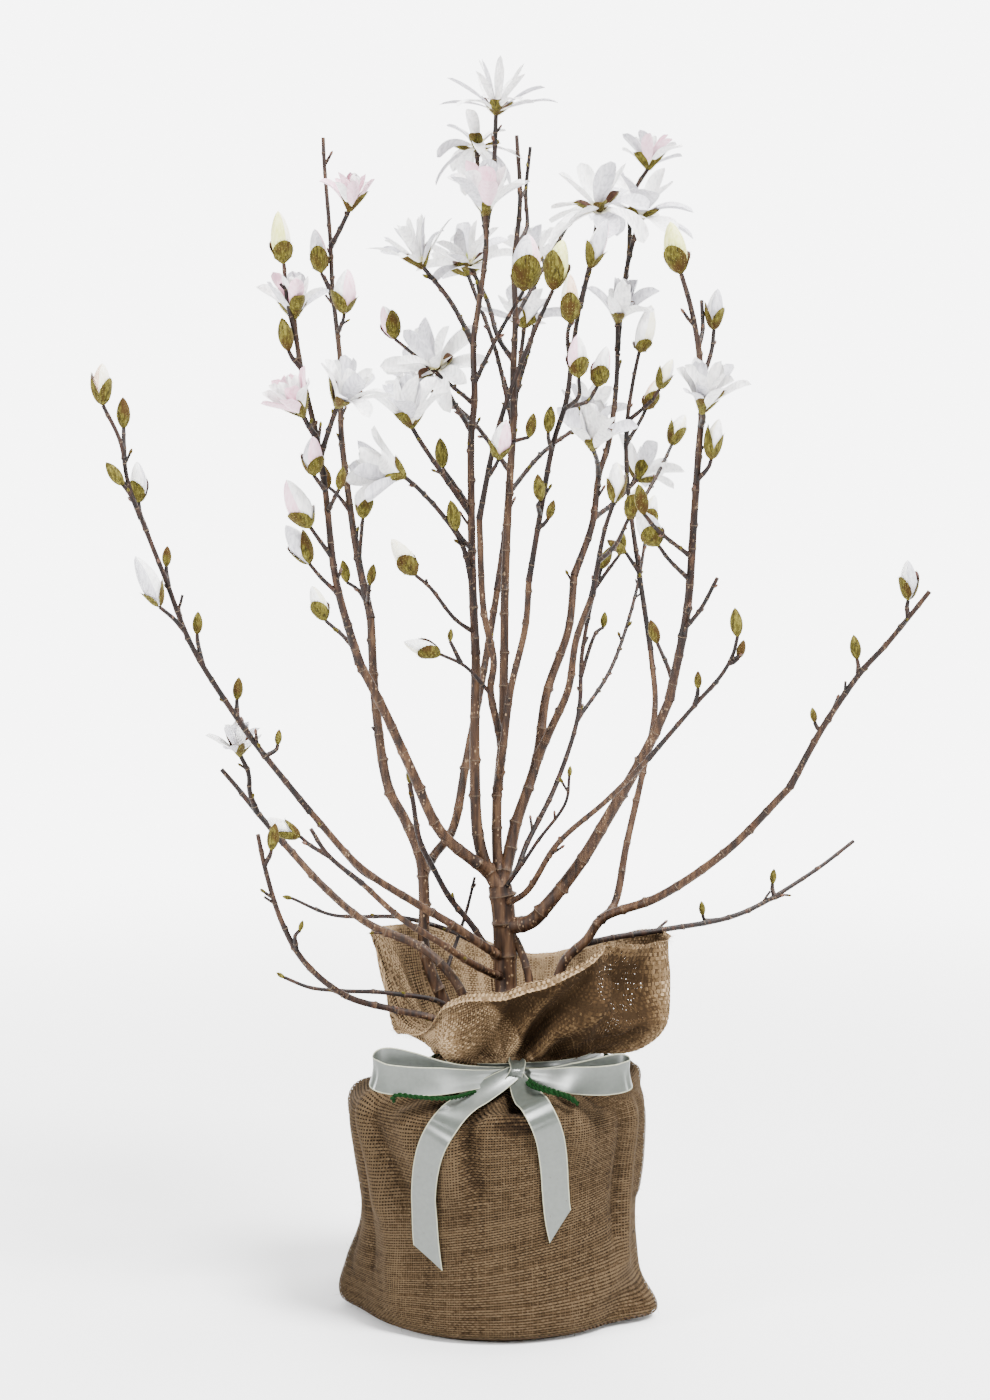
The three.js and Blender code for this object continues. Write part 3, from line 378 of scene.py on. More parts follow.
def wood(heap, path, radii, draw, sides, spacing, cut, start=0.0, collar=0.0):
    """A limb with its bark's relief: a collar at its foot, ringed nodes, a swelling under each bud and,
    where it is cut, a flat end. Returns how far along it the nodes are."""
    nodes = []
    place = start + spacing * (0.4 + 0.5 * draw())
    while place < path.length - 4:
        nodes.append(place)
        place += spacing * (0.7 + 0.6 * draw())
    edges = [n + off for n in nodes for off in NODE_RINGS]
    along = np.unique(np.concatenate([np.arange(start, path.length, RING_STEP), edges, [path.length]]))
    along = along[(along >= start) & (along <= path.length)]
    along = along[np.concatenate([[True], np.diff(along) > 0.2])]
    radius = np.interp(along / path.length, np.linspace(0, 1, len(radii)), radii)
    radius = radius * (1 + collar * np.exp(-(along - start) / COLLAR_REACH))
    angles = full_turn(sides)
    relief = 1 + 0.03 * np.sin(3 * angles + along[:, None] * 0.03 + 6 * draw())
    relief += 0.02 * np.sin(5 * angles - along[:, None] * 0.045 + 6 * draw())
    for k, node in enumerate(nodes):
        near = np.exp(-(((along - node) / NODE_REACH) ** 2))[:, None]
        turn = (angles - k * GOLDEN + math.pi) % (2 * math.pi) - math.pi
        relief = relief + near * (0.09 + 0.3 * np.exp(-((turn / 0.6) ** 2)))
    rings = tube_points(path, along, radius[:, None] * relief, sides)
    if cut:
        end = path.at(path.length)
        inner = end + (rings[-1:] - end) * 0.55
        rings = np.concatenate([rings, inner, np.repeat(end[None, None], sides, 1)])
    tones = np.full((len(rings) - 1, sides), BARK)
    middles = (along[1:] + along[:-1]) / 2
    for node in nodes:
        tones[: len(middles)][abs(middles - node) < 0.4] = SCAR
    if cut:
        tones[-2:] = SCAR
    heap.grid(rings, tones.ravel())
    return nodes


def spur_path(path, at, turn, length):
    """A short spur's curve: it leans off its limb at a turn round it and then bends up along it"""
    axis = path.heading(at)
    heading = unit(axis + SPUR_LEAN * spoke(*square_to(axis), turn))
    foot = path.at(at)
    return Path([foot, foot + heading * length * 0.5, foot + heading * length + axis * length * 0.12])


# Growth

def bulb(foot, axis, profile, sides, lean=(0, 0, 0), turn=0.0, ridges=0, depth=0.0):
    """A round skin along an axis. The profile holds distances and radii, and lean moves the tip."""
    along, radii = np.array(profile, float).T
    angles = turn + full_turn(sides)
    share = (along / along[-1])[:, None]
    wave = 1 + depth * np.cos(ridges * angles)
    centre = foot + along[:, None] * axis + share**2 * np.array(lean, float)
    return centre[:, None] + spokes(*square_to(axis), angles) * (radii[:, None] * wave)[..., None]


def egg_profile(length, width, rows, fullness=0.88, point=0.7):
    """The distances and radii along an egg: more fullness moves its widest place to the tip"""
    share = np.linspace(0.02, 1, rows)
    radii = width / 2 * np.sin(math.pi * share**fullness) ** point
    radii[-1] = 0.05
    return np.stack([share * length, radii], 1)


def hairs(parts, roots, off, along, across, shortest, longer, rng, half=0.11):
    """Fine hairs that stand off a skin and point along it; the longest are shortest + longer"""
    heading = unit(off + along * 0.7 + rng.normal(0, 0.25, roots.shape))
    side = unit(np.cross(heading, across + 0.01)) * half
    reach = shortest + longer * rng.random((len(roots), 1))
    parts.scales.strands(roots, side, roots + heading * reach, HAIR)


TEPAL_ROWS = 13
TEPAL_COLUMNS = 7
TEPAL_WIDEST = 0.62
SCALE_HAIRS = 150


def tepal_outline(share, claw):
    """A petal's width along it, as a share of its greatest; claw is the width at its foot"""
    rise = claw + (1 - claw) * np.sin(math.pi / 2 * np.minimum(share / TEPAL_WIDEST, 1)) ** 1.3
    past = np.clip((share - TEPAL_WIDEST) / (1 - TEPAL_WIDEST), 0, 1)
    return rise * np.sqrt(np.maximum(1 - past**2.3, 0.0016))


def tepal(foot, axis, out, length, width, lift, bend, sag, cup, twist, rng, claw=0.3, wave=1.0):
    """A petal's skin: it leaves the core at a lift from the axis, bends on outwards and sags. Its edges
    are cupped inwards, and it twists and waves a little."""
    share = np.linspace(0, 1, TEPAL_ROWS)
    sway = 0.10 * wave * np.sin(share * 5 + 6 * rng.random())
    angle = lift + bend * share**1.4 + sway
    down = np.array([0, 0, -1.0])
    heading = axis * np.cos(angle)[:, None] + out * np.sin(angle)[:, None]
    heading = unit(heading + down * (sag * share**1.6)[:, None])
    steps = np.vstack([np.zeros(3), np.cumsum((heading[1:] + heading[:-1]) / 2, 0)])
    spine = foot + steps * length / (TEPAL_ROWS - 1)
    drift = rng.normal(0, 0.07)
    side = unit(np.cross(axis, out))
    spine = spine + side * (drift * length * share**1.5)[:, None]
    inward = unit(np.cross(heading, side))
    side = np.cross(inward, heading)
    turn = (twist * share**1.3)[:, None]
    cos, sin = np.cos(turn), np.sin(turn)
    side, inward = side * cos + inward * sin, inward * cos - side * sin
    half = width / 2 * tepal_outline(share, claw)
    across = np.linspace(-1, 1, TEPAL_COLUMNS)
    edge = np.abs(across) ** 1.7
    dish = cup * half[:, None] * edge
    ripple = 0.35 * wave * np.sin(share * 11 + 6 * rng.random())[:, None] * across * share[:, None]
    crease = -0.18 * wave * (1 - np.abs(across)) * half[:, None] * 0.6
    points = spine[:, None] + side[:, None] * (across * half[:, None])[..., None]
    return points + inward[:, None] * (dish + ripple + crease)[..., None]


# Petal tones; the grey one is painted shade, given to whole petals and strips of buds to part them
WHITE, BLUSH, CREAM, GREEN, BEIGE, PAINTED_SHADE = range(6)
TINTS = {"white": (WHITE, PAINTED_SHADE, WHITE), "blush": (PAINTED_SHADE, BLUSH, WHITE), "pink": (BLUSH, BLUSH, WHITE),
         "cream": (CREAM, WHITE, CREAM), "green": (GREEN, CREAM, GREEN),
         "beige": (BEIGE, CREAM, BEIGE)}
FUR, HUSK, HAIR = range(3)
STAMEN, STYLE = range(2)


class Parts:
    """The plant's growth, each kind in a mesh of its own"""

    def __init__(self):
        self.boughs, self.shoots, self.twigs = Heap(), Heap(), Heap()
        self.petals, self.scales, self.hearts = Heap(), Heap(), Heap()


def scale_leaf(parts, foot, axis, out, length, width, lift, rng):
    """A bud's furred scale that has opened: furred outside, smooth and brown inside"""
    skin = tepal(foot, axis, out, length, width, lift, -0.35, 0.1, 0.75, 0.1, rng, claw=0.45, wave=0.3)
    middle = skin[TEPAL_ROWS // 2]
    centre = TEPAL_COLUMNS // 2
    along = unit(skin[-1, centre] - skin[0, centre])
    across = unit(middle[-1] - middle[0])
    outward = unit(np.cross(across, along))
    if outward @ (middle[0] + middle[-1] - 2 * middle[centre]) > 0:
        outward = -outward
    parts.scales.grid(skin + outward * 0.45, FUR, closed=False)
    parts.scales.grid(skin, HUSK, closed=False)
    rows = rng.integers(0, TEPAL_ROWS, SCALE_HAIRS)
    roots = skin[rows, rng.integers(0, TEPAL_COLUMNS, SCALE_HAIRS)] + outward * 0.4
    hairs(parts, roots, outward * 0.7, along, across, 1.1, 1.0, rng)


# The distances and radii along a flower's cone and along the short core that its petals leave
CONE = [(0, 2.2), (2, 2.6), (5, 2.3), (8, 1.5), (10.5, 0.1)]
CORE = [(0, 1.8), (2, 3.2), (6, 3.4), (8.5, 0.1)]
STYLES = 16
STAMENS = 30
FILAMENT = [0.35, 0.5, 0.5, 0.15]


def heart(parts, foot, axis, size, rng):
    """The green cone in a flower's middle with its styles, and the stamens round it"""
    cone = bulb(foot, axis, CONE, 10)
    parts.hearts.grid(foot + (cone - foot) * size, STYLE)
    u, v = square_to(axis)
    for k in range(STYLES + STAMENS):
        out = spoke(u, v, k * GOLDEN)
        style = k < STYLES
        up = size * (3 + 0.42 * k if style else 0.4)
        root = foot + axis * up + out * (1.9 if style else 2.1) * size
        lean = 0.9 if style else 0.55 + 0.35 * rng.random()
        reach = (2.6 if style else 7.5 + 2 * rng.random()) * size
        heading = unit(axis + out * lean)
        tip = root + heading * reach - axis * (0.3 if style else 0.8)
        middle = root + heading * reach * 0.55 + axis * 0.4
        along = np.linspace(0, 1, 4) * reach * 0.97
        rings = tube_points(Path([root, middle, tip]), along, FILAMENT, 4)
        parts.hearts.grid(rings, STYLE if style else STAMEN)


# A bloom's form: rings of petals from the outside in, each with its count, share of the bloom's
# opening, bend along the petal, sag, width for its length, and dish
FORMS = {
    "cup": [
        (6, 1.0, 0.15, 0.2, 0.37, 0.5), (5, 0.65, -0.15, 0.1, 0.39, 0.6),
        (4, 0.38, -0.3, 0.0, 0.36, 0.7),
    ],
    "star": [
        (6, 0.9, 0.45, 0.3, 0.32, 0.35), (5, 0.7, 0.2, 0.15, 0.33, 0.4),
        (4, 0.43, 0.1, 0.1, 0.30, 0.5),
    ],
    "strap": [(6, 1.2, 0.5, 0.3, 0.19, 0.3), (6, 0.8, 0.3, 0.1, 0.19, 0.3), (5, 0.4, 0.1, 0.0, 0.18, 0.4)],
    "droop": [(6, 1.3, 0.7, 0.7, 0.30, 0.3), (5, 1.0, 0.6, 0.5, 0.30, 0.3), (3, 0.5, 0.2, 0.2, 0.3, 0.4)],
    "broad": [
        (5, 1.25, 0.5, 0.35, 0.44, 0.25), (4, 0.9, 0.4, 0.2, 0.46, 0.25),
        (4, 0.45, 0.25, 0.0, 0.4, 0.35),
    ],
    "goblet": [
        (5, 1.05, 0.2, 0.1, 0.41, 0.5), (5, 0.5, -0.25, 0.0, 0.46, 0.8),
        (4, 0.28, -0.4, 0.0, 0.44, 0.9),
    ],
}


def bloom_growth(parts, foot, axis, end, rng):
    """An open flower: rings of petals round a core, its heart, and three scales that have opened"""
    u, v = square_to(axis)
    turn = 6.3 * rng.random()
    tints = TINTS[end["tint"]]
    for ring, (count, share, bend, sag, wide, cup) in enumerate(FORMS[end["form"]]):
        for k in range(count):
            turn += 2 * math.pi / count if k else GOLDEN
            out = spoke(u, v, turn)
            lift = end["open"] * math.pi / 2 * share * (0.88 + 0.24 * rng.random())
            length = end["length"] * (0.98 - 0.07 * ring) * (0.9 + 0.16 * rng.random())
            width = length * wide * (0.9 + 0.2 * rng.random())
            root = foot + out * (2.2 - 0.4 * ring) + axis * (0.8 + 0.9 * ring)
            bent = bend + 0.25 * rng.normal()
            skin = tepal(root, axis, out, length, width, lift, bent, sag, cup, 0.35 * rng.normal(), rng)
            # A petal takes one tint whole; a grey one is painted shade
            tones = np.full((TEPAL_ROWS - 1, TEPAL_COLUMNS - 1), tints[(ring + k) % 3])
            tones[:2] = CREAM
            parts.petals.grid(skin, tones.ravel(), closed=False)
    parts.scales.grid(bulb(foot - axis * 2.5, axis, CORE, 10), FUR)
    heart(parts, foot + axis * 2.5, axis, 0.75 + 0.25 * end["open"], rng)
    for k in range(3):
        out = spoke(u, v, turn + k * 2.1 + 0.5 * rng.random())
        lift = 0.35 + 0.7 * end["open"] + 0.3 * rng.random()
        scale_leaf(parts, foot - axis * 2 + out * 1.9, axis, out, 19 + 7 * rng.random(), 12.5, lift, rng)


BUD_ROWS = BUD_SIDES = 12
HAIRS_PER_LENGTH = 7


def bud_growth(parts, foot, axis, end, rng):
    """A shut bud: a furred egg, a little flattened and bent, with hairs between its ends"""
    length = end["length"]
    sideways = square_to(axis)[0] * rng.normal(0, 0.05) * length
    profile = egg_profile(length, length * 0.46, BUD_ROWS)
    skin = bulb(foot - axis * 0.8, axis, profile, BUD_SIDES, sideways, 6 * rng.random(), 2, 0.05)
    parts.scales.grid(skin, FUR)
    count = int(HAIRS_PER_LENGTH * length)
    row, column = rng.integers(1, BUD_ROWS - 3, count), rng.integers(0, BUD_SIDES, count)
    mix = rng.random((count, 1))
    roots = skin[row, column] * mix + skin[row + 1, (column + 1) % BUD_SIDES] * (1 - mix)
    off = roots - skin.mean(1)[row]
    off = unit(off - axis * (off @ axis)[:, None] + 1e-6)
    hairs(parts, roots, off * 0.8, axis, off, 0.78, 0.78, rng)


LEAF_ROWS = 10
LEAF_COLUMNS = 13


def bud_scale(parts, foot, axis, profile, facing, top, gape, rng):
    """A furred scale that hugs a bud's roll of petals: an oval over its own side, up to a share of
    the bud's length, that gapes at its tip"""
    spread = np.linspace(-1, 1, LEAF_COLUMNS)
    length = profile[-1, 0]
    crest = top * length * (0.28 + 0.72 * (1 - np.abs(spread) ** 1.7) ** 0.75)
    share = np.linspace(0, 1, LEAF_ROWS)[:, None]
    height = share * crest
    hug = np.interp(height, profile[:, 0], profile[:, 1]) + 0.9
    radius = hug * np.minimum(1, 0.4 + height / (0.08 * length)) + gape * length * share**3
    outs = spokes(*square_to(axis), facing + spread * 1.5)
    skin = foot + height[..., None] * axis + outs * radius[..., None]
    parts.scales.grid(skin, FUR, closed=False)
    parts.scales.grid(skin - outs * 0.5, HUSK, closed=False)
    count = int(HAIRS_PER_LENGTH * length)
    rows, columns = rng.integers(1, LEAF_ROWS, count), rng.integers(0, LEAF_COLUMNS, count)
    rows = np.where(rng.random(count) < 0.5, LEAF_ROWS - 1, rows)
    off = outs[columns]
    hairs(parts, skin[rows, columns], off * 0.8, axis, off, 1.0, 1.0, rng, 0.1)


ROLL_ROWS = 18
ROLL_SIDES = 24


def swollen_growth(parts, foot, axis, end, rng):
    """A bud that has begun to open: its rolled petals lean out of two furred scales"""
    length = end["length"]
    facing = 6.3 * rng.random()
    away = -spoke(*square_to(axis), facing)
    profile = egg_profile(length, length * end["wide"], ROLL_ROWS, 0.86, 0.66)
    petals = bulb(foot, axis, profile, ROLL_SIDES, away * 0.09 * length, 6.3 * rng.random())
    share = (profile[:, 0] / length)[:, None]
    turn = (np.arange(ROLL_SIDES) / ROLL_SIDES * 3 + 0.5 * share) % 1
    lap = 1 + 0.11 * share**0.5 * (turn - 0.5)
    centre = petals.mean(1, keepdims=True)
    petals = centre + (petals - centre) * lap[..., None]
    # The roll's sides take the tints in three strips; a grey strip is painted shade
    tints = np.array(TINTS[end["tint"]])[np.arange(ROLL_SIDES) * 3 // ROLL_SIDES]
    parts.petals.grid(petals, np.tile(tints, ROLL_ROWS - 1))
    bud_scale(parts, foot, axis, profile, facing, end["cover"], 0.02, rng)
    bud_scale(parts, foot, axis, profile, facing + 2.9, end["cover"] * 0.78, 0.04, rng)


GROWTH = {"bud": bud_growth, "swollen": swollen_growth, "bloom": bloom_growth}
# The end of a twig that is cut off and bears nothing
CUT = None


def bud(faces, length):
    return {"kind": "bud", "faces": faces, "length": length}


def swollen(faces, length, tint="cream", cover=0.74, wide=0.41):
    """cover is the taller scale's share of the bud's length, wide the bud's width for its length"""
    return {"kind": "swollen", "faces": faces, "length": length, "tint": tint, "cover": cover, "wide": wide}


def bloom(faces, length, open, form="cup", tint="white"):
    """open is 0 for shut petals and 1 for petals square to the stalk"""
    return {"kind": "bloom", "faces": faces, "length": length, "open": open, "form": form, "tint": tint}


def limb(name, via, radii, on=None, at=None, end=CUT, twigs=()):
    """A limb by the places that it passes through, across, up and deep as the eye sees them, and its
    radii from the foot to the tip. It leaves its parent at a height, or goes on from its end, and
    with no parent it comes out of the soil. A twig has its height on the spray, places and end."""
    return {"name": name, "via": via, "radii": radii, "on": on, "at": at, "end": end, "twigs": twigs}


BOUGHS = [
    limb("trunk", via=[(-1, 166, 0), (-2, 225, 0), (-4, 288, 0), (-6, 344, 0), (-10, 374, 0)],
      radii=[14, 9, 9.4, 10.4, 10.6]),
    limb("side_stem", via=[(22, 166, -8), (20, 235, -8), (16, 292, -6), (8, 318, -2), (-5, 340, 0)],
      radii=[4.6, 3.6, 3.8]),
    limb("left_leader", on="trunk", at=371,
      via=[(-21, 390, -2), (-29, 419, -4), (-32, 500, -8), (-31, 580, -12)], radii=[6, 5, 4.4, 4]),
    limb("centre_leader", on="trunk", at=370,
      via=[(-12, 406, 6), (-12, 455, 10), (-8, 500, 14), (-6, 575, 18), (-5, 640, 22), (-2, 717, 26),
        (3, 790, 30)],
      radii=[5, 4.2, 4, 3.6, 3.2]),
    limb("right_leader", on="trunk", at=370,
      via=[(-2, 400, 8), (4, 428, 14), (23, 486, 26), (32, 546, 38), (51, 602, 48), (56, 650, 56)],
      radii=[6.4, 5, 4.4, 3.8, 3.5]),
    limb("left_bough", on="left_leader", at=388,
      via=[(-32, 396, -15), (-62, 422, -32), (-88, 477, -54), (-113, 531, -74), (-134, 572, -90)],
      radii=[5.6, 4.6, 4.2, 3.8]),
    limb("right_bough", on="trunk", at=336,
      via=[(17, 342, -12), (30, 354, -20), (61, 393, -38), (85, 433, -54), (123, 500, -80),
        (141, 540, -94)],
      radii=[7.4, 5.8, 5.2, 4.6, 4]),
    limb("red_stem", on="centre_leader", at=499,
      via=[(-12, 517, 0), (-18, 549, -14), (-15, 574, -24), (-24, 619, -34), (-28, 700, -44)],
      radii=[3.6, 3, 2.8]),
    limb("dark_stem", on="centre_leader", at=459,
      via=[(-7, 495, -8), (0, 549, -14), (13, 605, -24), (16, 645, -32)], radii=[3.8, 3.2, 2.8]),
    limb("back_left_stem",
      via=[(-28, 166, 18), (-33, 226, 18), (-40, 242, 19), (-60, 272, 21), (-77, 317, 22), (-77, 356, 24),
        (-80, 397, 26), (-94, 433, 30), (-108, 460, 34), (-120, 535, 46), (-124, 612, 62)],
      radii=[6, 5.4, 5, 4.4, 3.8]),
    limb("back_stem", on="back_left_stem", at=384,
      via=[(-68, 402, 40), (-52, 424, 52), (-40, 482, 66), (-24, 566, 86), (-12, 637, 104)],
      radii=[4.4, 3.8, 3.2]),
    limb("right_fork", on="right_leader", at=487,
      via=[(36, 515, 16), (51, 549, 0), (58, 593, -14), (72, 632, -28)], radii=[4, 3.3, 2.9]),
    limb("far_right_bough",
      via=[(36, 166, 12), (38, 225, 8), (46, 303, 2), (68, 326, -4), (82, 345, -8), (131, 364, -20),
        (193, 406, -34), (248, 462, -50)],
      radii=[4.8, 4.4, 3.8, 3.2]),
    limb("right_shoot", on="far_right_bough", at=343,
      via=[(92, 357, 6), (103, 411, 20), (116, 469, 34), (128, 533, 48), (124, 584, 58)],
      radii=[3.6, 3, 2.6]),
    limb("thin_right_shoot", on="trunk", at=356,
      via=[(13, 368, -30), (42, 412, -76), (86, 451, -124), (122, 487, -154)], radii=[3, 2.4, 2.2]),
    limb("far_left_bough", on="trunk", at=306,
      via=[(-24, 320, -22), (-50, 338, -36), (-85, 359, -52), (-134, 391, -76), (-178, 440, -96)],
      radii=[4.2, 3.6, 3.2, 2.8]),
    limb("left_low_bough",
      via=[(-18, 166, -12), (-26, 225, -14), (-46, 283, -10), (-77, 317, -6), (-128, 341, 0),
        (-166, 373, 4), (-201, 411, 8)],
      radii=[4.6, 4.2, 3.6, 3]),
    limb("left_middle_bough", on="trunk", at=290,
      via=[(-32, 303, -36), (-63, 323, -64), (-99, 346, -86), (-132, 376, -102)], radii=[3.6, 2.9, 2.4]),
]

